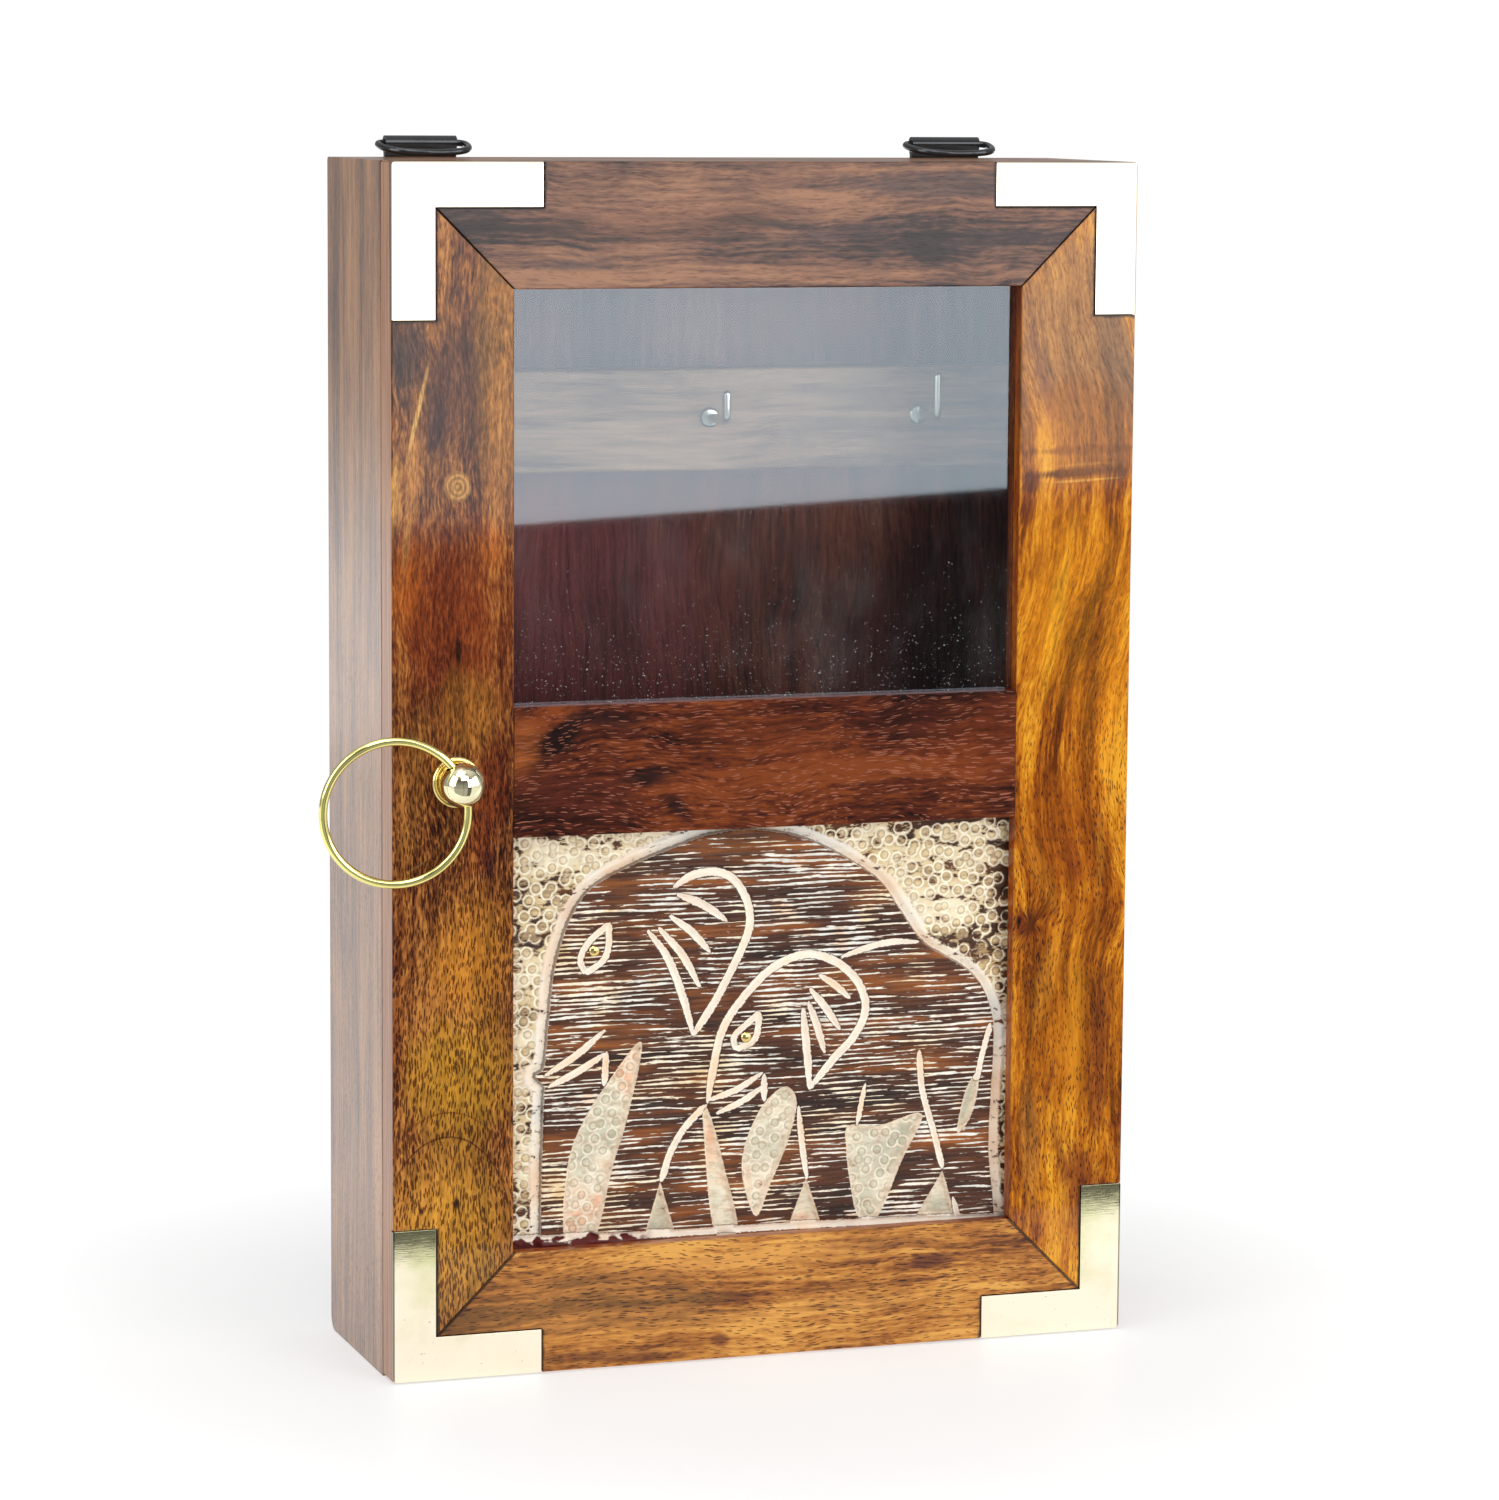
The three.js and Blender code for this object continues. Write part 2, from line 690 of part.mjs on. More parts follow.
function buildCarvedPanel() {
  const group = new THREE.Group();
  const reach = OPENING + REBATE - FIT_GAP;
  const front = LIP_BACK + FIT_GAP;
  const z = [OPENING_LOW - REBATE + FIT_GAP, MID_RAIL_LOW + REBATE - FIT_GAP];
  const slab = block([-reach, reach], [front, front + CARVED_PANEL], z);
  const nailHole = cylinderAlong(Y_AXIS, NAIL_HOLE_RADIUS, 2 * (NAIL_LENGTH + FIT_GAP), 8);
  const holes = EYE_NAILS.map((nail) => moved(nailHole, nail.x, front, nail.z));
  group.add(part('carved_panel', cut(slab, holes), 'carvedWood'));
  const nail = turned([
    [0, -NAIL_HEAD_HEIGHT],
    [NAIL_HEAD_RADIUS * 0.65, -NAIL_HEAD_HEIGHT * 0.7],
    [NAIL_HEAD_RADIUS, -NAIL_HEAD_HEIGHT * 0.2],
    [NAIL_RADIUS, -2 * SEAT_GAP],
    [NAIL_RADIUS, NAIL_LENGTH - NAIL_RADIUS],
    [0, NAIL_LENGTH],
  ], 12);
  for (const { name, x, z: height } of EYE_NAILS) {
    const mesh = part(name, nail.clone(), 'brass');
    mesh.position.set(x, front, height);
    group.add(mesh);
  }
  return group;
}

// ---- The hinges ----

// One leaf about its own pin axis: side is 1 for the case's leaf, -1 for the door's.
function hingeLeaf(side, knuckles, others) {
  const y = side === 1
    ? [LEAF_OFFSET, LEAF_OFFSET + LEAF_THICKNESS]
    : [-LEAF_OFFSET - LEAF_THICKNESS, -LEAF_OFFSET];
  const half = HINGE_LENGTH / 2;
  const plate = block([HALF_WIDTH - LEAF_WIDTH - HINGE_X, 0], y, [-half, half]);
  const along = new THREE.Vector3(0, 0, 1);
  const cylinder = (radius, [low, high]) => moved(
    cylinderAlong(along, radius, high - low, 16), 0, 0, (low + high) / 2,
  );
  const clearing = others.map(([low, high]) => cylinder(
    BARREL_RADIUS + KNUCKLE_CLEARANCE,
    [low - KNUCKLE_GAP, high + KNUCKLE_GAP],
  ));
  const barrels = knuckles.map((range) => cylinder(BARREL_RADIUS, range));
  const bore = cylinder(PIN_RADIUS + PIN_CLEARANCE, [-half - OVERCUT, half + OVERCUT]);
  return cut(join([cut(plate, clearing), ...barrels]), [bore]);
}

function hingePin() {
  const end = HINGE_LENGTH / 2 + SEAT_GAP;
  const crown = end + PIN_HEAD_HEIGHT * 0.85;
  return turned([
    [0, -end - PIN_HEAD_HEIGHT],
    [PIN_HEAD_CROWN, -crown],
    [PIN_HEAD_RADIUS, -end],
    [PIN_RADIUS, -end],
    [PIN_RADIUS, end],
    [PIN_HEAD_RADIUS, end],
    [PIN_HEAD_CROWN, crown],
    [0, end + PIN_HEAD_HEIGHT],
  ], 16).rotateX(Math.PI / 2);
}

function buildHinges() {
  const group = new THREE.Group();
  const half = HINGE_LENGTH / 2;
  const middle = [[-MIDDLE_KNUCKLE / 2, MIDDLE_KNUCKLE / 2]];
  const ends = [
    [-half, -MIDDLE_KNUCKLE / 2 - KNUCKLE_GAP],
    [MIDDLE_KNUCKLE / 2 + KNUCKLE_GAP, half],
  ];
  for (const [place, height] of Object.entries(HINGE_HEIGHTS)) {
    const holesOf = (screws) => screws.map(
      (one) => moved(screwHole(one), -HINGE_X, -HINGE_Y, -height),
    );
    const pieces = [
      [`hinge_${place}_case_leaf`, cut(hingeLeaf(1, ends, middle), holesOf(caseHingeScrews))],
      [`hinge_${place}_door_leaf`, cut(hingeLeaf(-1, middle, ends), holesOf(doorHingeScrews))],
      [`hinge_${place}_pin`, hingePin()],
    ];
    const hinge = new THREE.Group();
    hinge.position.set(HINGE_X, HINGE_Y, height);
    for (const [name, geometry] of pieces) {
      hinge.add(part(name, geometry, 'brass'));
    }
    group.add(hinge);
  }
  return group;
}

// ---- The ring pull ----

// The ring is open, and its two ends sit in the ball's cross hole, so it turns about the
// chord between the two points where it enters the ball.
const CHORD_HALF_ANGLE = 2 * Math.asin(BALL_RADIUS / (2 * RING_RADIUS));
const CHORD_DISTANCE = RING_RADIUS * Math.cos(CHORD_HALF_ANGLE);
const CHORD_OFFSET = RING_RADIUS - CHORD_DISTANCE;

class RingPath extends THREE.Curve {
  getPoint(t, target = new THREE.Vector3()) {
    const angle = RING_END_ANGLE + t * (2 * Math.PI - 2 * RING_END_ANGLE);
    return target.set(
      RING_RADIUS * Math.sin(angle),
      0,
      RING_RADIUS * Math.cos(angle) - CHORD_DISTANCE,
    );
  }
}

function knobBall() {
  const ball = new THREE.SphereGeometry(BALL_RADIUS, 20, 14);
  const studEnd = DOOR_BACK + STUD_PROJECTION - BALL_Y;
  const stud = moved(cylinderAlong(Y_AXIS, STUD_RADIUS, studEnd, 16), 0, studEnd / 2, 0);
  const neckEnd = BALL_STAND_OFF - ROSETTE_DISH - FIT_GAP;
  const neck = moved(cylinderAlong(Y_AXIS, NECK_RADIUS, neckEnd, 16), 0, neckEnd / 2, 0);
  const crossHole = moved(
    cylinderAlong(X_AXIS, CROSS_HOLE_RADIUS, 4 * BALL_RADIUS, 12), 0, 0, -CHORD_OFFSET,
  );
  return cut(join([ball, neck, stud]), [crossHole]);
}

// A dished back plate: its rim stands round the back of the ball.
function rosette() {
  const hole = STUD_RADIUS + STUD_CLEARANCE;
  return turned([
    [hole, 0],
    [hole, -ROSETTE_DISH],
    [ROSETTE_RADIUS * 0.65, -ROSETTE_DISH],
    [ROSETTE_RADIUS * 0.8, -ROSETTE_THICKNESS],
    [ROSETTE_RADIUS * 0.93, -ROSETTE_THICKNESS],
    [ROSETTE_RADIUS, -ROSETTE_THICKNESS * 0.7],
    [ROSETTE_RADIUS, 0],
    [hole, 0],
  ], 20);
}

function buildPull() {
  const group = new THREE.Group();
  const base = part('knob_rosette', rosette(), 'brass');
  base.position.set(KNOB_X, FRONT - SEAT_GAP, KNOB_Z);
  group.add(base);

  const hole = STUD_RADIUS + NUT_CLEARANCE;
  const washer = disc(WASHER_RADIUS, 16);
  washer.holes.push(disc(hole, 12));
  const hexagon = disc(NUT_RADIUS, 6);
  hexagon.holes.push(disc(hole, 12));
  const washerY = [DOOR_BACK + SEAT_GAP, DOOR_BACK + SEAT_GAP + WASHER_THICKNESS];
  const backFace = moved(slabAlongY(washer, washerY), KNOB_X, 0, KNOB_Z);
  group.add(part('knob_washer', backFace, 'brass'));

  const swivel = new THREE.Group();
  swivel.position.set(KNOB_X, BALL_Y, KNOB_Z);
  swivel.rotation.y = RING_SWIVEL;
  swivel.add(part('knob_ball', knobBall(), 'brass'));
  const nutStart = washerY[1] + 2 * SEAT_GAP - BALL_Y;
  const nutY = [nutStart, nutStart + NUT_THICKNESS];
  swivel.add(part('knob_nut', slabAlongY(hexagon, nutY), 'brass'));

  const ring = part('pull_ring', wire(new RingPath(), RING_WIRE, 48, 8), 'brass');
  ring.position.set(0, 0, -CHORD_OFFSET);
  ring.rotation.x = RING_LEAN;
  swivel.add(ring);
  group.add(swivel);
  return group;
}

// ---- The magnetic catch ----

function buildCatch() {
  const group = new THREE.Group();
  const y = [CASE_FRONT + CATCH_SETBACK, CASE_FRONT + CATCH_SETBACK + CATCH_DEPTH];
  const around = (length) => [CATCH_HEIGHT - length / 2, CATCH_HEIGHT + length / 2];
  const wall = -INNER + SEAT_GAP;
  const body = block([wall, -INNER + CATCH_WIDTH], y, around(CATCH_BODY_LENGTH));
  const ears = block([wall, -INNER + CATCH_EAR], y, around(CATCH_LENGTH));
  const pocketX = [-INNER + CATCH_RIM, -INNER + CATCH_WIDTH - CATCH_RIM];
  const pocketLength = CATCH_BODY_LENGTH - 2 * CATCH_RIM;
  const pocket = block(pocketX, [y[0] - OVERCUT, y[0] + MAGNET + FIT_GAP], around(pocketLength));
  const housing = cut(join([body, ears]), [pocket, ...catchScrews().map(screwHole)]);
  group.add(part('catch_housing', housing, 'whitePlastic'));
  const magnetX = [pocketX[0] + FIT_GAP, pocketX[1] - FIT_GAP];
  const magnetY = [y[0] + 2 * SEAT_GAP, y[0] + MAGNET];
  const magnet = block(magnetX, magnetY, around(pocketLength - 2 * FIT_GAP));
  group.add(part('catch_magnet', magnet, 'blackSteel'));
  const strikeX = [-INNER + STRIKE_MARGIN, -INNER + CATCH_WIDTH - STRIKE_MARGIN];
  const strikeY = [DOOR_BACK + SEAT_GAP, DOOR_BACK + STRIKE_THICKNESS];
  const strike = cut(block(strikeX, strikeY, around(CATCH_BODY_LENGTH)), [screwHole(strikeScrew)]);
  group.add(part('catch_strike', strike, 'zincSteel'));
  return group;
}

// ---- The wall hangers ----

const BAR_LOOP = D_RING_WIRE + BAR_CLEARANCE + STRAP_SHEET;
const BAR_Y = STRAP_SHEET;
const BAR_Z = STRAP_RISE - BAR_LOOP;

// The strap's section, with Y from the case's back and Z from the case's top: a sheet
// folded over the ring's bar, its two flaps pressed together against the case.
function strapOutline() {
  const shape = new THREE.Shape();
  shape.moveTo(SEAT_GAP, -STRAP_DROP);
  shape.lineTo(2 * STRAP_SHEET, -STRAP_DROP);
  shape.lineTo(2 * STRAP_SHEET, STRAP_PINCH);
  shape.lineTo(BAR_Y + BAR_LOOP, BAR_Z);
  shape.absarc(BAR_Y, BAR_Z, BAR_LOOP, 0, Math.PI, false);
  shape.lineTo(SEAT_GAP, STRAP_PINCH);
  const inner = D_RING_WIRE + BAR_CLEARANCE;
  const hollow = new THREE.Path();
  hollow.moveTo(BAR_Y + inner, BAR_Z);
  hollow.absarc(BAR_Y, BAR_Z, inner, 0, Math.PI, false);
  hollow.lineTo(BAR_Y, STRAP_PINCH + STRAP_CREASE);
  shape.holes.push(hollow);
  return shape;
}

// A D: a straight bar with its butt joint in the middle, rounded corners and a bow.
class DRingPath extends THREE.CurvePath {
  constructor() {
    super();
    const half = D_RING_WIDTH / 2 - D_RING_WIRE;
    const reach = D_RING_DEPTH - D_RING_WIRE * 2;
    const at = (x, y) => new THREE.Vector3(x, -y, 0);
    const joint = D_RING_JOINT / 2;
    const shoulder = half - D_RING_CORNER;
    this.add(new THREE.LineCurve3(at(joint, 0), at(shoulder, 0)));
    this.add(new THREE.QuadraticBezierCurve3(at(shoulder, 0), at(half, 0), at(half, D_RING_CORNER)));
    this.add(new THREE.CubicBezierCurve3(
      at(half, D_RING_CORNER), at(half, reach * 0.8), at(half * 0.6, reach), at(0, reach),
    ));
    this.add(new THREE.CubicBezierCurve3(
      at(0, reach), at(-half * 0.6, reach), at(-half, reach * 0.8), at(-half, D_RING_CORNER),
    ));
    this.add(new THREE.QuadraticBezierCurve3(
      at(-half, D_RING_CORNER), at(-half, 0), at(-shoulder, 0),
    ));
    this.add(new THREE.LineCurve3(at(-shoulder, 0), at(-joint, 0)));
  }
}

function buildHangers() {
  const group = new THREE.Group();
  for (const { name, x } of HANGERS) {
    const strap = slabAlongX(strapOutline(), [-STRAP_WIDTH / 2, STRAP_WIDTH / 2]);
    const holes = hangerScrews().map((one) => moved(screwHole(one), -x, -BACK, -HEIGHT));
    const hanger = new THREE.Group();
    hanger.position.set(x, BACK, HEIGHT);
    hanger.add(part(`${name}_strap`, cut(strap, holes), 'blackSteel'));
    const ring = part(`${name}_d_ring`, wire(new DRingPath(), D_RING_WIRE, 40, 6), 'blackSteel');
    ring.position.set(0, BAR_Y, BAR_Z);
    ring.rotation.x = D_RING_DROOP;
    hanger.add(ring);
    group.add(hanger);
  }
  return group;
}

// ---- The assembly ----

const cabinet = new THREE.Group();
cabinet.add(
  buildCase(),
  buildKeyRail(),
  buildDoorFrame(),
  buildCornerPlates(),
  buildGlazing(),
  buildCarvedPanel(),
  buildHinges(),
  buildPull(),
  buildCatch(),
  buildHangers(),
);
const everyScrew = [
  ...caseHingeScrews, ...doorHingeScrews, ...hangerScrews(), ...catchScrews(), strikeScrew,
];
for (const one of everyScrew) {
  cabinet.add(screw(one));
}

export default cabinet;
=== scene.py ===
"""The looks of a wall-hung key cabinet: lacquered rosewood, brass corners, a pane of glass
over a row of hooks, and a distressed carved panel. Metres, in the CAD part's own frame."""

import math
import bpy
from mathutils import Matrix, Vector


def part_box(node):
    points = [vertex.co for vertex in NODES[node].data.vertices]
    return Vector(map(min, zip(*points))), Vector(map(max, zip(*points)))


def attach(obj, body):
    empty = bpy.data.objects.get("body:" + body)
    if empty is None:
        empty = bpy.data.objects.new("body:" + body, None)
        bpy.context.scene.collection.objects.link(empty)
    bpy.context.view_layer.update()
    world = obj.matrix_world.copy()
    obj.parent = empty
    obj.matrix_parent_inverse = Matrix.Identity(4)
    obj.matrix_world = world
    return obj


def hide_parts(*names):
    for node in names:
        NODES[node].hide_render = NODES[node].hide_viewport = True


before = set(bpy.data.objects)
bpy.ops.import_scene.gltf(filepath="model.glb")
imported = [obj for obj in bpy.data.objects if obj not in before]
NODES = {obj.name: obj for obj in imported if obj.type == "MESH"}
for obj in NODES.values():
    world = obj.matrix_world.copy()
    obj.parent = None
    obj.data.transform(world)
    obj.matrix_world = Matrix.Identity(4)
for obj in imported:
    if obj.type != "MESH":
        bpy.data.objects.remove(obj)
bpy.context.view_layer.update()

from types import SimpleNamespace

import bpy
import numpy as np
from mathutils import Matrix, Quaternion, Vector

MM = 0.001


def box_mm(node):
    """A CAD node's lowest and highest corners, in millimetres."""
    low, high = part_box(node)
    return np.array(low) / MM, np.array(high) / MM


def srgb(red, green, blue):
    """A colour given as 0-255 display values, as a linear RGBA."""
    linear = []
    for channel in (red, green, blue):
        value = channel / 255
        value = value / 12.92 if value <= 0.04045 else ((value + 0.055) / 1.055) ** 2.4
        linear.append(value)
    return (*linear, 1.0)


# ---- Camera ----

CAMERA_PLACE = (-0.42746, -1.26565, 0.33203)
CAMERA_YAW = 18.89
CAMERA_PITCH = 7.5175
CAMERA_ROLL = 0.4145
LENS = 123.0


def make_camera():
    yaw, pitch, roll = (math.radians(a) for a in (CAMERA_YAW, CAMERA_PITCH, CAMERA_ROLL))
    forward = Vector((
        math.sin(yaw) * math.cos(pitch), math.cos(yaw) * math.cos(pitch), -math.sin(pitch),
    ))
    level = Vector((math.cos(yaw), -math.sin(yaw), 0))
    upright = level.cross(forward)
    right = math.cos(roll) * level + math.sin(roll) * upright
    up = math.cos(roll) * upright - math.sin(roll) * level
    data = bpy.data.cameras.new("camera")
    data.lens = LENS
    data.sensor_width = 36
    data.sensor_fit = "AUTO"
    data.clip_start = 0.01
    data.clip_end = 50
    camera = bpy.data.objects.new("camera", data)
    matrix = Matrix((right, up, -forward)).transposed().to_4x4()
    matrix.translation = Vector(CAMERA_PLACE)
    camera.matrix_world = matrix
    bpy.context.scene.collection.objects.link(camera)
    bpy.context.scene.camera = camera


# ---- Node graphs ----

class Value:
    """A number in a node graph, so that sums on it read as sums."""

    def __init__(self, graph, socket):
        self.graph = graph
        self.socket = socket

    def __add__(self, other):
        return self.graph.math("ADD", self, other)

    def __sub__(self, other):
        return self.graph.math("SUBTRACT", self, other)

    def __rsub__(self, other):
        return self.graph.math("SUBTRACT", other, self)

    def __mul__(self, other):
        return self.graph.math("MULTIPLY", self, other)

    def __truediv__(self, other):
        return self.graph.math("DIVIDE", self, other)

    def __rtruediv__(self, other):
        return self.graph.math("DIVIDE", other, self)

    def __abs__(self):
        return self.graph.math("ABSOLUTE", self)

    __radd__ = __add__
    __rmul__ = __mul__


class Graph:
    """A node tree being filled, with short calls for the nodes used here."""

    def __init__(self, tree, output="ShaderNodeOutputMaterial"):
        self.tree = tree
        tree.nodes.clear()
        self.output = self.add(output)

    def put(self, socket, value):
        if isinstance(value, Value):
            value = value.socket
        if isinstance(value, bpy.types.NodeSocket):
            self.tree.links.new(value, socket)
        else:
            socket.default_value = value

    def add(self, kind, settings=None, inputs=None):
        node = self.tree.nodes.new(kind)
        for key, value in (settings or {}).items():
            setattr(node, key, value)
        for key, value in (inputs or {}).items():
            self.put(node.inputs[key], value)
        return node

    def math(self, operation, *values, clamp=False):
        node = self.add("ShaderNodeMath", {"operation": operation, "use_clamp": clamp})
        for socket, value in zip(node.inputs, values):
            self.put(socket, value)
        return Value(self, node.outputs[0])

    def least(self, first, second):
        return self.math("MINIMUM", first, second)

    def most(self, first, second):
        return self.math("MAXIMUM", first, second)

    def below(self, value, limit):
        """1 where a value is below a limit, 0 elsewhere."""
        return self.math("LESS_THAN", value, limit)

    def vector(self, operation, *values):
        node = self.add("ShaderNodeVectorMath", {"operation": operation})
        for socket, value in zip(node.inputs, values):
            self.put(socket, value)
        return node.outputs["Vector"]

    def length(self, vector):
        node = self.add("ShaderNodeVectorMath", {"operation": "LENGTH"}, {0: vector})
        return Value(self, node.outputs["Value"])

    def stretched(self, vector, x, y, z):
        return self.vector("MULTIPLY", vector, (x, y, z))

    def split(self, vector):
        node = self.add("ShaderNodeSeparateXYZ", inputs={"Vector": vector})
        return [Value(self, node.outputs[axis]) for axis in ("X", "Y", "Z")]

    def join(self, x, y, z):
        node = self.add("ShaderNodeCombineXYZ", inputs={"X": x, "Y": y, "Z": z})
        return node.outputs["Vector"]

    def noise(self, vector, scale, detail=2.0, roughness=0.5, distortion=0.0):
        node = self.add("ShaderNodeTexNoise", inputs={
            "Vector": vector, "Scale": scale, "Detail": detail,
            "Roughness": roughness, "Distortion": distortion,
        })
        return Value(self, node.outputs[0])

    def spread(self, value, low, high, start=0.0, end=1.0, smooth=True):
        """value between low and high, as start to end."""
        node = self.add("ShaderNodeMapRange", {
            "interpolation_type": "SMOOTHSTEP" if smooth else "LINEAR",
        }, {"Value": value, "From Min": low, "From Max": high, "To Min": start, "To Max": end})
        return Value(self, node.outputs["Result"])

    def ramp(self, factor, stops):
        node = self.add("ShaderNodeValToRGB", inputs={"Fac": factor})
        elements = node.color_ramp.elements
        while len(elements) < len(stops):
            elements.new(0.5)
        for element, (position, colour) in zip(elements, stops):
            element.position = position
            element.color = colour
        return node.outputs["Color"]

    def mix(self, factor, first, second):
        """Two colours, mixed."""
        node = self.add("ShaderNodeMix", {"data_type": "RGBA"})
        self.put(node.inputs[0], factor)
        self.put(node.inputs[6], first)
        self.put(node.inputs[7], second)
        return node.outputs[2]

    def blend(self, factor, first, second):
        """Two numbers, mixed."""
        node = self.add("ShaderNodeMix", inputs={0: factor, 2: first, 3: second})
        return Value(self, node.outputs[0])

    def bump(self, height, distance, strength=1.0):
        node = self.add("ShaderNodeBump", inputs={
            "Height": height, "Distance": distance, "Strength": strength,
        })
        return node.outputs["Normal"]

    def here(self):
        return self.add("ShaderNodeTexCoord").outputs["Object"]

    def attribute(self, name):
        node = self.add("ShaderNodeAttribute", {"attribute_name": name})
        return Value(self, node.outputs["Fac"])

    def shader(self, kind, **inputs):
        named = {key.replace("_", " "): value for key, value in inputs.items()}
        return self.add(kind, inputs=named).outputs[0]

    def layer(self, factor, under, over):
        """One shader laid over another."""
        node = self.add("ShaderNodeMixShader", inputs={0: factor, 1: under, 2: over})
        return node.outputs[0]

    def surface(self, shader):
        self.tree.links.new(shader, self.output.inputs["Surface"])

    def principled(self, **inputs):
        self.surface(self.shader("ShaderNodeBsdfPrincipled", **inputs))


def new_graph(name):
    material = bpy.data.materials.new(name)
    material.use_nodes = True
    return material, Graph(material.node_tree)


# ---- Materials ----

# Places are in metres, in the CAD's frame; the plates and the stamps are in millimetres.
FAR = 1000.0
HALF_WIDTH = 0.1
MID_HEIGHT = 0.155
MITRE_REACH = 0.033
INNER_HALF_WIDTH = 0.09
INNER_HALF_HEIGHT = 0.145
DOOR_OUTER_EDGE = 0.0992
DOOR_FRONT = -0.0318
DOOR_BACK = -0.0222
CASE_BACK = 0.0312
PLATE_WIDTH = 11.3
PLATE_ARM = 39.3
PORE_SHADE = (0.20, 0.12, 0.09)
PORE_FADE = (0.13, 0.21)
STAMP_RADIUS = 1.45
COMB_PITCH = 0.0013


def darker(tint, share=0.5):
    """A darker tint of the same hue."""
    return tuple(share * c for c in tint[:3]) + (1.0,)


def bend_round_knots(g, across, along, knots):
    """The across-grain coordinate pushed aside round each knot, and how deep in one it is."""
    inside_knot = 0.0
    for knot_across, knot_along, radius in knots:
        sideways = across - knot_across * MM
        lengthways = (along - knot_along * MM) * 0.6
        squared = sideways * sideways + lengthways * lengthways
        size = (radius * MM) ** 2
        across = across + sideways * (size / (squared + size * 0.25) * 1.6)
        inside_knot = g.most(inside_knot, g.spread(squared, size * 0.9, size * 0.02))
    return across, inside_knot


def grain_space(g, place, offset, grain, wave, bends, knots):
    """A function giving the wood's own coordinates, squeezed along the grain, and how deep
    in a knot a point is."""
    shifted = g.vector("ADD", place, offset)
    x, y, z = g.split(place)
    across, along = (x, z) if grain == "Z" else (z, x)
    for height, sideways, half_length in bends:
        t = (along - height * MM) / (half_length * MM)
        across = across - g.math("EXPONENT", t * t * -1.0) * (sideways * MM)
    across, knot = bend_round_knots(g, across, along, knots)
    wander = (g.noise(shifted, 15, 2, 0.5) - 0.5) * (4 * wave * MM)
    small_wander = (g.noise(shifted, 70, 2, 0.5) - 0.5) * (wave * MM)
    across = across + wander + small_wander
    depth = y + wander

    def grained(stretch):
        squeezed = along * stretch
        parts = (across, depth, squeezed) if grain == "Z" else (squeezed, depth, across)
        return g.vector("ADD", g.join(*parts), offset)

    return grained, knot


def patch_reach(g, place, x, z, half_width, half_height, turn=0):
    """How far a point is from a patch's centre; 1 is on its edge. Millimetres and degrees."""
    node = g.add("ShaderNodeMapping", {"vector_type": "TEXTURE"}, {
        "Vector": place, "Location": (x * MM, 0, z * MM), "Rotation": (0, math.radians(turn), 0),
        "Scale": (half_width * MM, FAR, half_height * MM),
    })
    return g.length(node.outputs["Vector"])


def add_figure_and_shade(g, place, colour, figure_and_shade, tone, ragged):
    """Patches of another colour, wood figure or painted shade, kept off the back of the cabinet.
    """
    _, y, _ = g.split(place)
    inner = g.below(y, CASE_BACK)
    shade = g.spread(tone, 0.05, 0.95, 0.42, 1.55, smooth=False)
    shades = g.join(shade, shade, shade)
    for x, z, half_width, half_height, turn, tint, amount in figure_and_shade:
        reach = patch_reach(g, place, x, z, half_width, half_height, turn)
        weight = g.spread(reach + ragged, 1.25, 0.4, 0.0, amount) * inner
        colour = g.mix(weight, colour, g.vector("MULTIPLY", shades, tint[:3]))
    return colour


def add_rings(g, place, colour, rings, cloud):
    """Round knots seen end on."""
    for x, z, radius, tint in rings:
        reach = patch_reach(g, place, x, z, radius, radius * 1.1)
        level = g.spread(g.math("SINE", (reach + cloud * 0.5) * 17.0), -1.0, 1.0, 0.62, 1.15)
        ringed = g.vector("MULTIPLY", g.join(level, level, level), tint[:3])
        colour = g.mix(g.spread(reach, 1.1, 0.95, 0.0, 0.9), colour, ringed)
    return colour


def add_rims(g, place, colour, rims, cloud):
    """Thin lines along ellipses."""
    for x, z, half_width, half_height, thickness, tint in rims:
        away = abs(patch_reach(g, place, x, z, half_width, half_height) + cloud * 0.05 - 1.0)
        line = g.spread(away, 2 * thickness / (half_width + half_height), 0.0, 0.0, 0.85)
        colour = g.mix(line, colour, tint)
    return colour


def pore_mask(g, place, grained, streak, pores, pore_stretch):
    """Where the pores are, thicker in some zones and fainter up the cabinet."""
    zone = g.noise(grained(0.3), streak * 0.8, 3, 0.55)
    cells = g.add("ShaderNodeTexVoronoi", {"feature": "F1"}, {
        "Vector": grained(pore_stretch), "Scale": 2100, "Randomness": 1.0,
    }).outputs["Distance"]
    size = g.spread(zone, 0.35, 0.65, 0.28 + pores, 0.42 + pores, smooth=False)
    _, _, z = g.split(place)
    pore = g.spread(g.math("SUBTRACT", cells, size), 0.02, -0.03)
    return pore * g.spread(z, *PORE_FADE, 0.9, 0.4)


def inward_and_upward(g, place):
    """How far in a point is from the cabinet's nearer side, and from its top or base."""
    x, _, z = g.split(place)
    return HALF_WIDTH - abs(x), MID_HEIGHT - abs(z - MID_HEIGHT)


def dark_round_plates(g, place, colour):
    """The dark glue line on the door's face along the corner plates and the mitres."""
    _, y, _ = g.split(place)
    inward, upward = inward_and_upward(g, place)
    nearest = FAR
    for wide, high in ((PLATE_WIDTH, PLATE_ARM), (PLATE_ARM, PLATE_WIDTH)):
        beyond = g.join(g.most(inward - wide * MM, 0.0), 0.0, g.most(upward - high * MM, 0.0))
        nearest = g.least(nearest, g.length(beyond))
    ragged = (g.noise(place, 420, 3, 0.6) - 0.5) * 0.0011
    line = g.spread(nearest + ragged, 0.0011, 0.0004)
    mitre = g.spread(abs(inward - upward) + ragged * 0.5, 0.0006, 0.0001)
    line = g.most(line, mitre * g.below(inward, MITRE_REACH))
    in_front = g.below(y, DOOR_FRONT + 0.0023)
    return g.mix(line * in_front * 0.9, colour, srgb(34, 18, 12))


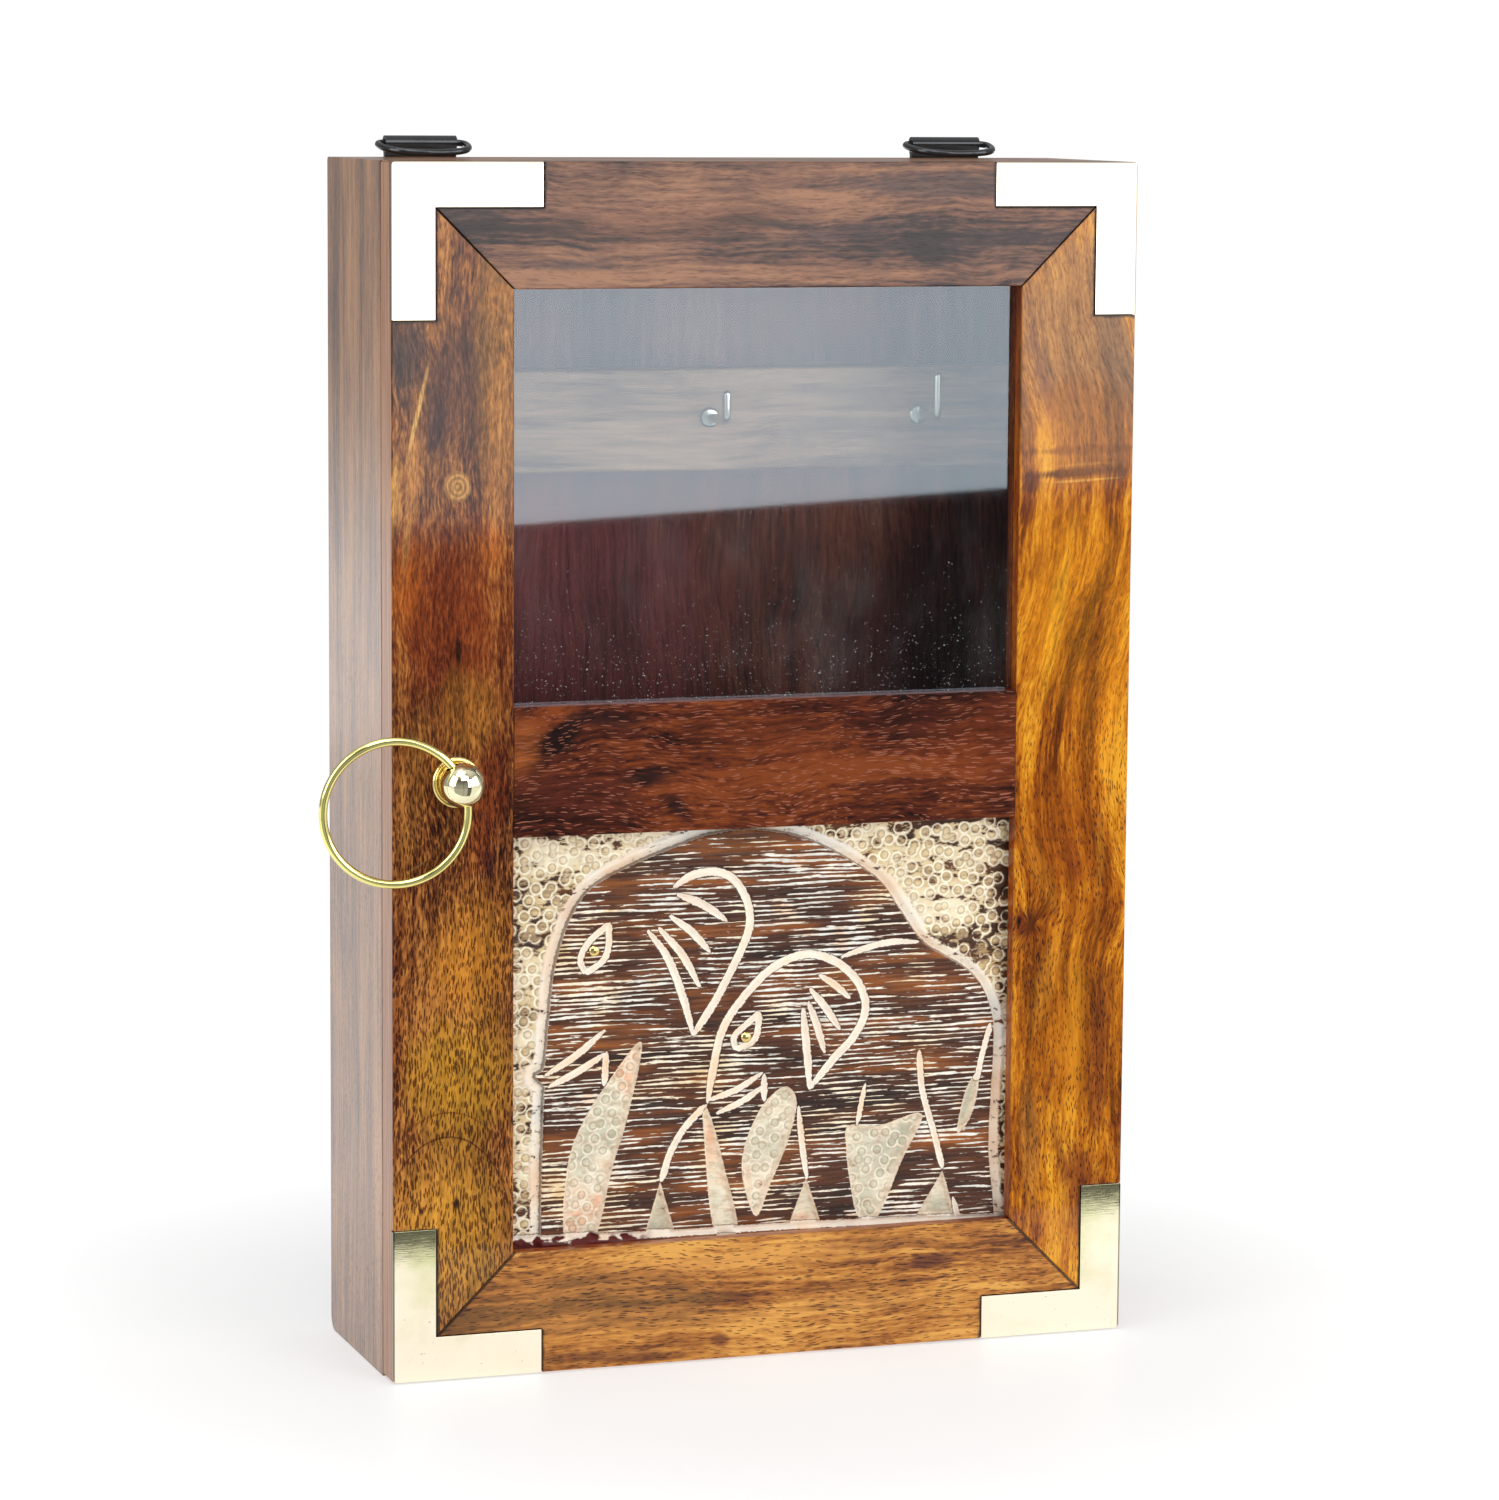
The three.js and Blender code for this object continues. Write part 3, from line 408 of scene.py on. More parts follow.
def dark_inner_faces(g, place, colour):
    """The door's inner edges and its back are stained a dark red-brown."""
    x, y, z = g.split(place)
    edges = g.below(abs(x), INNER_HALF_WIDTH) * g.below(abs(z - MID_HEIGHT), INNER_HALF_HEIGHT)
    edges = edges * g.spread(y, DOOR_FRONT + 0.0001, DOOR_FRONT + 0.0006)
    back = g.spread(y, DOOR_BACK - 0.0004, DOOR_BACK)
    stained = g.vector("ADD", g.stretched(colour, 0.55, 0.42, 0.45), srgb(86, 28, 14)[:3])
    return g.mix(g.most(edges, back), colour, stained)


def pale_outer_edge(g, place, colour):
    """The door's outer edges are rubbed to a paler, pinker wood than its face."""
    x, y, _ = g.split(place)
    edge = g.spread(y, DOOR_FRONT, DOOR_FRONT + 0.0004)
    edge = edge * g.math("GREATER_THAN", abs(x), DOOR_OUTER_EDGE)
    streaks = g.noise(g.stretched(place, 1.0, 1.0, 0.03), 900, 3, 0.6)
    pale = g.ramp(streaks, [(0.35, srgb(168, 116, 88)), (0.65, srgb(208, 160, 128))])
    return g.mix(edge * 0.85, colour, pale)


def wood(name, grain, tones, seed, wave=3.0, streak=95.0, contrast=1.0, pores=0.0,
         pore_colour=None, bends=(), knots=(), figure_and_shade=(), rings=(), rims=(), coat=0.5,
         coat_roughness=0.06, flecked=1.15, pore_stretch=0.2, door=False):
    """Lacquered wood, its grain along the X or Z axis, with tones from dark to light.

    wave is how far the grain wanders, streak how fine its bands are, flecked how strong its
    finest grain is. pores makes the pores denser, and a lower pore_stretch makes them longer.
    bends are humps in the grain: (height, sideways, half length). knots: (across, along,
    radius). figure_and_shade holds patches of another colour, wood figure or painted shade:
    (x, z, half width, half height, turn, colour, amount). rings are knots seen end on: (x, z,
    radius, colour). rims are thin ellipses: (x, z, half width, half height, thickness, colour).
    Millimetres and degrees."""
    material, g = new_graph(name)
    dark, middle, light = tones
    black = darker(dark, 0.35)
    place = g.here()
    offset = (seed * 0.37, seed * 0.71, seed * 0.53)
    grained, knot = grain_space(g, place, offset, grain, wave, bends, knots)
    bands = g.noise(grained(0.07), streak, 6, 0.62, 0.25) - 0.5
    threads = g.noise(grained(0.045), 900, 3, 0.62) - 0.5
    flecks = g.noise(grained(0.2), 1500, 2, 0.55) - 0.5
    cloud = g.noise(g.vector("ADD", place, offset), 26, 4, 0.6) - 0.5
    tone = bands * (1.7 * contrast) + threads * (0.9 * contrast)
    tone = tone + flecks * flecked + cloud * (0.7 * contrast)
    tone = g.math("ADD", tone, 0.5, clamp=True)
    colour = g.ramp(tone, [(0.02, black), (0.25, dark), (0.52, middle), (0.86, light)])
    ragged = bands * 1.5 + cloud * 1.3 + flecks * 0.5
    colour = add_figure_and_shade(g, place, colour, figure_and_shade, tone, ragged)
    colour = add_rings(g, place, colour, rings, cloud)
    colour = add_rims(g, place, colour, rims, cloud)

    pore = pore_mask(g, place, grained, streak, pores, pore_stretch)
    colour = g.mix(pore, colour, pore_colour or g.stretched(colour, *PORE_SHADE))
    colour = g.mix(knot * 0.7, colour, black)
    if door:
        colour = dark_round_plates(g, place, colour)
        colour = dark_inner_faces(g, place, colour)
        colour = pale_outer_edge(g, place, colour)
    height = flecks * 0.5 - pore
    g.principled(
        Base_Color=colour, Roughness=0.45, Normal=g.bump(height, 0.00008, 0.6),
        Coat_Weight=coat, Coat_Roughness=coat_roughness, Specular_IOR_Level=0.05,
        Coat_Normal=g.bump(height, 0.00003, 0.5),
    )
    return material


def green_reflection_and_grime(g, place, colour, cloud, green_reflection):
    """A painted green reflection on brass between two heights; grime along the cabinet's edges."""
    low, high, green = green_reflection
    _, _, z = g.split(place)
    # Painted reflection: a green band on the lower plates between the two heights.
    tinted = g.spread(z + (cloud - 0.5) * 0.05, low * MM, high * MM)
    colour = g.mix(tinted * g.below(z, 2 * high * MM), colour, green)
    grime = g.spread(g.least(*inward_and_upward(g, place)), 0.0005, 0.0003, 0.0, 0.85)
    return g.mix(grime, colour, (0.12, 0.08, 0.05, 1.0))


def brass(name, tint, roughness, tarnish=0.35, uneven=0.0, green_reflection=None):
    """Polished brass: faint scratches, cloudy tarnish, a little dirt and a hand-beaten wave.

    green_reflection = (lowest z, highest z, colour) paints a reflection of that colour between
    two heights in millimetres, and puts grime along the cabinet's edges."""
    material, g = new_graph(name)
    place = g.here()
    cloud = g.noise(place, 55, 4, 0.6)
    fine = g.noise(place, 420, 3, 0.6)
    lines = g.noise(g.stretched(place, 0.06, 1.0, 1.0), 3000, 2, 0.6)
    spots = g.spread(g.noise(place, 1100, 1, 0.4), 0.73, 0.80)
    dull = (tint[0] * 0.72, tint[1] * 0.66, tint[2] * 0.50, 1.0)
    colour = g.mix(g.spread(cloud, 0.45, 0.8) * tarnish, tint, dull)
    if green_reflection:
        colour = green_reflection_and_grime(g, place, colour, cloud, green_reflection)
    colour = g.mix(spots * 0.3, colour, (0.10, 0.055, 0.02, 1.0))
    height = lines * 0.012 + fine * 0.02 + g.noise(place, 75, 2, 0.5) * uneven
    g.principled(
        Base_Color=colour, Metallic=1.0, Roughness=(fine + cloud) * 0.04 + roughness,
        Normal=g.bump(height, 0.0004, 1.0),
    )
    return material


def metal(name, tint, roughness, worn, wear=0.3, metallic=1.0):
    """Plated or painted steel whose coating has cloudy patches and is worn to another tint."""
    material, g = new_graph(name)
    place = g.here()
    cloud = g.noise(place, 160, 4, 0.6)
    grain = g.noise(place, 900, 2, 0.5)
    rubbed = g.spread(g.noise(place, 420, 4, 0.7), 0.62, 0.78)
    colour = g.mix(rubbed * wear, tint, worn)
    colour = g.mix(g.spread(cloud, 0.4, 0.75, 0.0, 0.3), colour, darker(tint))
    g.principled(
        Base_Color=colour, Metallic=metallic, Roughness=(cloud - 0.5) * 0.3 + roughness,
        Normal=g.bump(grain, 0.00002, 0.35),
    )
    return material


def plastic(name, tint):
    """Moulded plastic: a fine spark texture, a little yellowing and scuffs."""
    material, g = new_graph(name)
    place = g.here()
    cloud = g.noise(place, 90, 3, 0.6)
    spark = g.noise(place, 2600, 2, 0.6)
    scuff = g.spread(g.noise(g.stretched(place, 1.0, 0.2, 1.0), 700, 3, 0.7), 0.66, 0.8)
    yellowed = (tint[0] * 0.95, tint[1] * 0.86, tint[2] * 0.64, 1.0)
    colour = g.mix(g.spread(cloud, 0.4, 0.8), tint, yellowed)
    colour = g.mix(scuff * 0.4, colour, (0.35, 0.33, 0.30, 1.0))
    g.principled(
        Base_Color=colour, Roughness=spark * 0.18 + 0.42, Normal=g.bump(spark, 0.00003, 0.5),
    )
    return material


def window_glass(name):
    """Clear float glass with dust that lies thicker at the bottom, and a few smears."""
    material, g = new_graph(name)
    place = g.here()
    low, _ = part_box("glass_pane")
    _, _, z = g.split(place)
    speck = g.noise(place, 1900, 1, 0.3)
    dust = g.spread(speck + g.spread(z, low.z + 0.052, low.z, 0.0, 0.085), 0.815, 0.845)
    film = g.noise(g.stretched(place, 1.0, 1.0, 0.45), 60, 4, 0.65)
    haze = g.most(dust * 0.6, g.spread(film, 0.45, 0.8, 0.003, 0.035))
    mirror = g.shader("ShaderNodeBsdfGlossy", Color=(0.74, 0.86, 0.97, 1), Roughness=0.02)
    clear = g.shader("ShaderNodeBsdfTransparent", Color=(0.975, 0.985, 0.98, 1))
    dusty = g.shader("ShaderNodeBsdfDiffuse", Color=(0.6, 0.58, 0.57, 1))
    fresnel = g.add("ShaderNodeFresnel", inputs={"IOR": 1.88}).outputs[0]
    backfacing = g.add("ShaderNodeNewGeometry").outputs["Backfacing"]
    outward = g.math("SUBTRACT", 1.0, backfacing)
    pane = g.layer(g.math("MULTIPLY", fresnel, outward), clear, mirror)
    g.surface(g.layer(haze, pane, dusty))
    return material


def carving_fields(g):
    """What the carved panel's colour depends on: the distances that its mesh carries, in
    millimetres, the noises, and the masks drawn from both."""
    place = g.here()
    streaky = g.stretched(place, 0.4, 1.0, 1.0)
    field = SimpleNamespace(place=place)
    field.x, field.y, field.z = g.split(place)
    field.body = g.attribute("body")
    field.stroke = g.attribute("stroke")
    field.leaf = g.attribute("leaf")
    field.ring = g.attribute("ring")
    field.fuzz = g.noise(place, 1100, 3, 0.6) - 0.5
    field.cloud = g.noise(streaky, 95, 3, 0.55)
    field.tint = g.noise(place, 60, 4, 0.6)
    field.chips = g.noise(streaky, 620, 4, 0.65)
    field.patchy = (g.noise(streaky, 75, 3, 0.5) - 0.5) * 0.62
    field.ragged_body = field.body + field.fuzz * 0.7
    field.in_body = g.spread(field.ragged_body, -0.1, 0.1)
    field.outside = 1.0 - field.in_body
    frayed = field.body + field.fuzz * 2.0 + (field.cloud - 0.5) * 3.0
    field.band = g.spread(frayed, -3.4, -2.7) * field.outside
    field.in_leaf = g.spread(field.leaf + field.fuzz * 0.4, -0.1, 0.1)
    field.ragged_stroke = field.stroke + field.fuzz * 0.8
    field.in_stroke = g.spread(field.ragged_stroke, -0.05, 0.08)
    unbroken = g.spread(field.cloud + field.fuzz * 0.4, 0.30, 0.42)
    off_ring = abs(field.ring - STAMP_RADIUS) + field.fuzz * 0.55
    field.ring_line = g.spread(off_ring, 0.34, 0.14) * unbroken
    # Painted shade: a dark ring just inside each punch mark's rim.
    field.ring_shade = abs(field.ring - 1.0) + field.fuzz
    return field


def combed_lines(g, field):
    """Combed lines, high where the paint stays: in the grooves between rubbed ridges."""
    sway = (g.noise(g.stretched(field.place, 0.2, 1.0, 1.0), 130, 3, 0.5) - 0.5) * 0.0036
    comb = g.math("SINE", (field.z + sway) * (2 * math.pi / COMB_PITCH))
    dashes = g.noise(g.stretched(field.place, 0.055, 1.0, 1.0), 1600, 3, 0.62)
    return comb * 0.13 + dashes + field.patchy + (field.chips - 0.5) * 0.22


def paint_left(g, field, lines):
    """Where paint is left, from 0 to 1."""
    bare = field.chips * 0.9 + field.cloud * 0.55
    bare = bare - g.spread(field.ring, 1.7, 2.1) * 0.09
    bare = bare - g.spread(abs(field.x), 0.064, 0.068, 0.0, 0.05)
    bare = bare - g.spread(field.z, 0.134, 0.139, 0.0, 0.07)
    ground = g.most(g.spread(bare, 0.58, 0.66), field.ring_line)
    paint = g.blend(field.in_body, ground, g.spread(lines, 0.59, 0.62))
    paint = g.most(paint, field.band * g.spread(field.chips, 0.34, 0.42))
    cut_line = g.spread(abs(field.ragged_body + 0.25), 0.3, 0.1)
    paint = paint * (1.0 - cut_line * 0.7)
    leaf_paint = g.most(g.spread(field.chips, 0.26, 0.36), field.ring_line)
    paint = g.blend(field.in_leaf, paint, leaf_paint)
    rim = g.spread(field.ragged_stroke, -0.32, -0.15) * (1.0 - field.in_stroke)
    paint = g.most(paint * (1.0 - rim * 0.65), field.in_stroke)
    painted = g.below(field.y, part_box("carved_panel")[1].y - 0.001)
    return paint * painted, painted


def ground_colour(g, field):
    """Pale stamped rings on tan with painted shade inside each, and darker gaps between them."""
    tan = g.ramp(field.cloud, [
        (0.35, srgb(184, 152, 100)), (0.5, srgb(224, 200, 150)), (0.62, srgb(244, 230, 196)),
    ])
    tan = g.mix(g.spread(field.ring_shade, 0.34, 0.1, 0.0, 0.4), tan, srgb(120, 86, 48))
    tan = g.mix(g.spread(field.chips + field.cloud, 1.06, 0.86, 0.0, 0.6), tan, srgb(120, 88, 50))
    return g.mix(field.ring_line, tan, srgb(252, 244, 218))


def leaf_colour(g, field):
    """Olive and peach leaves with a pale edge, and painted shade inside their punch marks."""
    olive = g.ramp(field.tint, [
        (0.32, srgb(242, 194, 160)), (0.44, srgb(238, 230, 206)), (0.60, srgb(190, 190, 168)),
    ])
    olive = g.mix(g.spread(field.ring_shade, 0.34, 0.1, 0.0, 0.35), olive, srgb(124, 116, 88))
    olive = g.mix(field.ring_line * 0.8, olive, srgb(250, 240, 220))
    return g.mix(g.spread(field.leaf, 1.5, 0.2, 0.0, 0.85), olive, srgb(248, 228, 204))


def paint_colour(g, field):
    """Cream on the animals, tan round them, olive in the leaves, white in the strokes."""
    cream = g.ramp(field.tint, [
        (0.30, srgb(236, 204, 152)), (0.42, srgb(252, 238, 208)), (0.50, srgb(252, 246, 232)),
        (0.58, srgb(232, 234, 226)), (0.68, srgb(250, 220, 190)),
    ])
    cream = g.mix((1.0 - field.band) * field.outside * 0.9, cream, ground_colour(g, field))
    banded = g.ramp(g.noise(field.place, 38, 3, 0.55), [
        (0.36, srgb(240, 206, 176)), (0.48, srgb(252, 238, 218)), (0.60, srgb(228, 226, 218)),
    ])
    cream = g.mix(field.band * 0.8, cream, banded)
    cream = g.mix(field.in_leaf, cream, leaf_colour(g, field))
    cream = g.mix(field.in_stroke, cream, g.ramp(field.tint, [
        (0.35, srgb(255, 232, 206)), (0.5, srgb(255, 246, 232)), (0.65, srgb(250, 236, 220)),
    ]))
    sheltered = g.most(field.in_stroke, field.band)
    worn = g.spread(field.chips, 0.60, 0.34, 0.0, 0.4) * (1.0 - sheltered * 0.8)
    return g.mix(worn, cream, srgb(164, 124, 84))


def carved_paint(name):
    """Cream paint rubbed back to dark wood, with a dark red run of stain at its lower left."""
    material, g = new_graph(name)
    field = carving_fields(g)
    lines = combed_lines(g, field)
    paint, painted = paint_left(g, field, lines)
    timber = g.ramp(g.noise(g.stretched(field.place, 0.1, 1.0, 1.0), 240, 4, 0.6), [
        (0.32, srgb(42, 22, 14)), (0.50, srgb(82, 42, 18)), (0.70, srgb(152, 84, 26)),
    ])
    timber = g.mix(field.outside * 0.6, timber, srgb(52, 34, 22))
    colour = g.mix(paint, timber, paint_colour(g, field))
    wavering = field.z + (g.noise(field.place, 230, 2, 0.5) - 0.5) * 0.008
    run = g.spread(wavering, 0.0342, 0.0336) * g.spread(field.x, -0.028, -0.034)
    colour = g.mix(run * painted, colour, srgb(92, 18, 14))
    height = paint * 0.4 + lines * -0.6 + field.fuzz * 0.6
    g.principled(
        Base_Color=colour, Roughness=g.spread(paint, 0.0, 1.0, 0.4, 0.7),
        Normal=g.bump(height, 0.0002, 0.8), Specular_IOR_Level=0.3,
    )
    return material


CASE_GRAIN = {
    "wave": 0.8, "streak": 150, "contrast": 0.95, "pores": -0.14, "flecked": 0.5,
    "coat_roughness": 0.16,
}
RAIL_GRAIN = {"pore_stretch": 0.12, "wave": 2.0, "door": True}

SKINS = {
    "left_stile": wood(
        "wood_left_stile", "Z", (srgb(70, 30, 14), srgb(132, 76, 34), srgb(190, 126, 58)), 3.1,
        wave=2.2, pores=0.09, flecked=1.3, door=True,
        rings=[(-82.9, 229.1, 3.4, srgb(186, 134, 70))],
        rims=[(-85.8, 38, 17, 25.6, 0.4, srgb(84, 40, 14)),
              (-85.8, 36, 21, 34, 0.3, srgb(130, 72, 22))],
        figure_and_shade=[
            (-95.5, 262, 6.5, 14, 8, srgb(66, 48, 44), 0.9),
            (-86, 252, 11, 28, 6, srgb(82, 48, 38), 0.85),
            (-72, 262, 6, 44, 0, srgb(172, 114, 48), 0.7),
            (-88.4, 244, 2.6, 9, 10, srgb(58, 34, 40), 0.75),
            (-93.4, 247, 0.75, 16, 13, srgb(206, 158, 84), 0.95),
            (-94.5, 236, 2.2, 9, 10, srgb(178, 118, 56), 0.7),
            (-84, 198, 20, 26, 0, srgb(118, 48, 18), 0.85),
            (-96, 205, 4, 14, 6, srgb(176, 92, 30), 0.55),
            (-74, 214, 4, 9, 0, srgb(168, 86, 26), 0.5),
            (-80, 172, 8, 11, 0, srgb(164, 104, 38), 0.65),
            (-95, 152, 4, 22, 8, srgb(148, 96, 42), 0.6),
            (-82.9, 188, 0.7, 3.4, 0, srgb(34, 14, 8), 0.85),
            (-75, 134, 1.6, 4.4, 0, srgb(62, 26, 26), 0.85),
            (-76, 146, 5, 20, 10, srgb(112, 44, 16), 0.7),
            (-80, 108, 13, 20, 10, srgb(186, 120, 36), 0.75),
            (-84, 80, 17, 20, 0, srgb(180, 128, 36), 0.85),
            (-99, 92, 3.5, 42, 2, srgb(110, 52, 18), 0.75),
            (-99.4, 228, 1.9, 10, 4, srgb(196, 140, 66), 0.9),
            (-95.5, 222, 1.1, 16, 6, srgb(170, 112, 54), 0.75),
            (-85.5, 40, 18, 24, 0, srgb(192, 134, 46), 0.9),
            (-92.6, 44.9, 0.9, 1.9, 0, srgb(48, 20, 10), 0.95),
            (-83.4, 46.2, 1.0, 2.2, 0, srgb(48, 20, 10), 0.95),
        ]),
    "right_stile": wood(
        "wood_right_stile", "Z", (srgb(126, 60, 8), srgb(188, 110, 16), srgb(228, 160, 40)), 7.7,
        contrast=1.15, pores=-0.07, flecked=0.8, door=True,
        bends=[(228, 13, 46), (118, 4, 14)], knots=[(70.0, 111, 2.2)],
        figure_and_shade=[
            (84, 270, 22, 36, 0, srgb(160, 112, 64), 0.85),
            (95, 262, 5, 24, -14, srgb(128, 92, 62), 0.75),
            (74, 256, 2.5, 24, -16, srgb(112, 70, 56), 0.6),
            (85, 235.6, 14, 1.3, -2, srgb(80, 34, 14), 0.95),
            (82, 229.6, 12, 1.4, -3, srgb(72, 28, 10), 0.95),
            (86, 231.8, 8, 0.4, -3, srgb(216, 148, 52), 0.7),
            (86, 227.6, 9, 0.4, -3, srgb(226, 166, 66), 0.8),
            (72, 227, 2.6, 3.0, 0, srgb(96, 38, 12), 0.8),
            (71, 219, 2.2, 4.2, 10, srgb(102, 40, 12), 0.7),
            (74, 206, 3.0, 6.5, 14, srgb(112, 46, 12), 0.65),
            (85, 241, 16, 13, 0, srgb(166, 98, 20), 0.75),
            (85, 132, 17, 24, 0, srgb(150, 74, 6), 0.75),
            (85, 80, 17, 28, 0, srgb(160, 88, 8), 0.7),
            (84, 196, 16, 24, 0, srgb(206, 128, 20), 0.6),
            (79, 192, 2.2, 24, 10, srgb(236, 164, 36), 0.6),
            (92, 176, 8, 30, 0, srgb(196, 116, 18), 0.55),
            (90, 184, 1.4, 14, 12, srgb(136, 60, 12), 0.5),
            (83, 162, 1.0, 16, 2, srgb(132, 58, 12), 0.55),
            (93, 140, 1.6, 26, 2, srgb(204, 130, 32), 0.5),
            (85, 128, 2.4, 8, -18, srgb(130, 58, 14), 0.65),
            (76, 124, 2.6, 13, -24, srgb(196, 122, 30), 0.5),
            (71, 111, 3.6, 5.4, 0, srgb(104, 42, 14), 0.9),
            (69.8, 112, 0.9, 1.6, 0, srgb(40, 14, 8), 0.95),
            (78, 96, 2.8, 14, 14, srgb(200, 130, 36), 0.5),
            (86, 82, 2.6, 26, 0, srgb(204, 132, 26), 0.65),
            (93, 72, 2.8, 24, 2, srgb(130, 64, 22), 0.7),
            (79, 68, 1.4, 9, 12, srgb(112, 48, 14), 0.7),
            (74, 52, 3.0, 18, -4, srgb(176, 116, 48), 0.6),
            (88, 40, 7, 16, -16, srgb(118, 54, 22), 0.75),
            (82, 50, 2.0, 12, -14, srgb(104, 40, 14), 0.6),
        ]),
    "top_rail": wood(
        "wood_top_rail", "X", (srgb(52, 34, 32), srgb(114, 76, 58), srgb(154, 108, 78)), 5.3,
        contrast=1.2, pores=-0.10, flecked=0.5, **RAIL_GRAIN,
        figure_and_shade=[
            (-26, 296, 34, 6, -3, srgb(112, 72, 52), 0.7),
            (48, 304, 34, 4, 0, srgb(84, 62, 58), 0.75),
            (20, 292, 22, 2.4, -6, srgb(66, 48, 50), 0.7),
            (-52, 284, 16, 2.2, 0, srgb(56, 40, 42), 0.75),
            (56, 290, 24, 3.0, -4, srgb(70, 52, 52), 0.6),
            (-78, 302, 16, 6, 0, srgb(82, 58, 54), 0.6),
        ]),
    "bottom_rail": wood(
        "wood_bottom_rail", "X", (srgb(116, 62, 18), srgb(180, 114, 44), srgb(222, 162, 76)), 11.9,
        contrast=1.25, pores=-0.08, flecked=0.6, **RAIL_GRAIN,
        figure_and_shade=[
            (-20, 26, 70, 4, -2, srgb(170, 112, 52), 0.5),
            (46, 22.6, 8, 2.2, -3, srgb(84, 32, 18), 0.85),
            (-12, 5.5, 3.2, 2.4, 0, srgb(104, 50, 22), 0.8),
            (-48, 16, 34, 8, 0, srgb(196, 132, 62), 0.75),
            (-44, 3.4, 20, 1.8, 2, srgb(104, 54, 28), 0.6),
            (10, 12, 46, 3.0, -2, srgb(188, 132, 62), 0.6),
            (30, 17, 40, 0.8, -2, srgb(112, 60, 24), 0.5),
        ]),
    "mid_rail": wood(
        "wood_mid_rail", "X", (srgb(28, 12, 10), srgb(80, 34, 20), srgb(126, 62, 28)), 13.3,
        wave=4.2, contrast=1.1, pores=-0.09, pore_colour=srgb(158, 92, 66), flecked=0.7,
        pore_stretch=0.08, door=True,
        figure_and_shade=[
            (-66, 163, 7, 9, 35, srgb(146, 78, 36), 0.85),
            (-56, 165, 4.5, 11, 40, srgb(30, 16, 16), 0.95),
            (-44, 169, 14, 2.6, 8, srgb(46, 24, 22), 0.8),
            (-32, 154, 10, 4.0, -4, srgb(28, 16, 18), 0.95),
            (-25, 146, 3.0, 8, -45, srgb(34, 18, 18), 0.85),
            (-50, 150, 20, 7, 10, srgb(86, 38, 26), 0.7),
            (6, 160, 26, 8, 14, srgb(104, 48, 22), 0.6),
            (58, 158, 20, 12, -8, srgb(104, 46, 20), 0.65),
            (36, 166, 12, 4, 0, srgb(84, 36, 24), 0.6),
        ]),
    "case": wood(
        "wood_case", "Z", (srgb(118, 84, 64), srgb(162, 116, 80), srgb(200, 146, 98)), 17.2,
        coat=0.9, **CASE_GRAIN),
    "case_ends": wood(
        "wood_case_ends", "X", (srgb(96, 60, 42), srgb(150, 104, 74), srgb(186, 138, 98)), 19.4,
        coat=0.6, **CASE_GRAIN),
    "back": wood(
        "wood_back", "Z", (srgb(44, 20, 16), srgb(94, 46, 36), srgb(128, 74, 56)), 23.6,
        streak=45, contrast=0.9, pores=-0.18, flecked=0.3, coat=0.15, coat_roughness=0.3,
        # The first patch is painted shade: the inside of the cabinet darker at its lower right.
        figure_and_shade=[(56, 176, 34, 50, 0, srgb(52, 20, 24), 0.7),
                (-36, 190, 40, 40, 0, srgb(146, 68, 74), 0.6),
                (-20, 266, 60, 40, 0, srgb(132, 96, 90), 0.7)]),
    "beads": wood(
        "wood_beads", "Z", (srgb(54, 22, 12), srgb(104, 46, 24), srgb(146, 74, 36)), 26.6,
        wave=1.0, coat=0.4, coat_roughness=0.15),
    "rail": wood(
        "wood_rail", "X", (srgb(100, 68, 44), srgb(136, 102, 74), srgb(166, 132, 100)), 29.2,
        wave=1.2, streak=260, contrast=0.9, pores=-0.12, flecked=0.5, coat=0.4,
        coat_roughness=0.2),
    # The lower plates carry a painted green reflection from 12 to 36 mm up.
    "brass_plate": brass("brass_plate", (0.90, 0.82, 0.655, 1.0), 0.05, 0.25, 0.12,
                         green_reflection=(12, 36, (0.69, 0.67, 0.39, 1.0))),
    "brass_bright": brass("brass_bright", (0.93, 0.87, 0.58, 1.0), 0.02, 0.1),
    "brass_ring": brass("brass_ring", (0.92, 0.86, 0.32, 1.0), 0.04, 0.2, 0.02),
    "brass_gold": brass("brass_gold", (0.80, 0.62, 0.24, 1.0), 0.12, 0.3, 0.02),
    "brass_fitting": brass("brass_fitting", (0.78, 0.62, 0.32, 1.0), 0.16, 0.5, 0.02),
    "nickel": metal("nickel_wire", (0.62, 0.64, 0.58, 1.0), 0.22, (0.5, 0.42, 0.26, 1.0)),
    "black": metal("black_steel", (0.05, 0.053, 0.057, 1.0), 0.16, (0.20, 0.19, 0.18, 1.0),
                   wear=0.2, metallic=0.6),
    "zinc": metal("zinc_steel", (0.60, 0.62, 0.64, 1.0), 0.28, (0.42, 0.40, 0.36, 1.0)),
    "plastic": plastic("catch_plastic", (0.78, 0.76, 0.70, 1.0)),
    "glass": window_glass("window_glass"),
    "carved": carved_paint("carved_paint"),
}


# ---- CAD nodes that are shown as they are ----

def dress(node, skin, bevel=0.3, segments=2, angle=32):
    """Gives a CAD node its material, and eases its sharp edges."""
    thing = NODES[node]
    thing.data.materials.clear()
    thing.data.materials.append(SKINS[skin])
    if "custom_normal" in thing.data.attributes:
        thing.data.attributes.remove(thing.data.attributes["custom_normal"])
    thing.data.polygons.foreach_set("use_smooth", [True] * len(thing.data.polygons))
    weld = thing.modifiers.new("weld", "WELD")
    weld.merge_threshold = 0.000004
    if bevel:
        ease = thing.modifiers.new("ease", "BEVEL")
        ease.width = bevel * MM
        ease.segments = segments
        ease.limit_method = "ANGLE"
        ease.angle_limit = math.radians(angle)
        ease.harden_normals = True
        ease.use_clamp_overlap = True


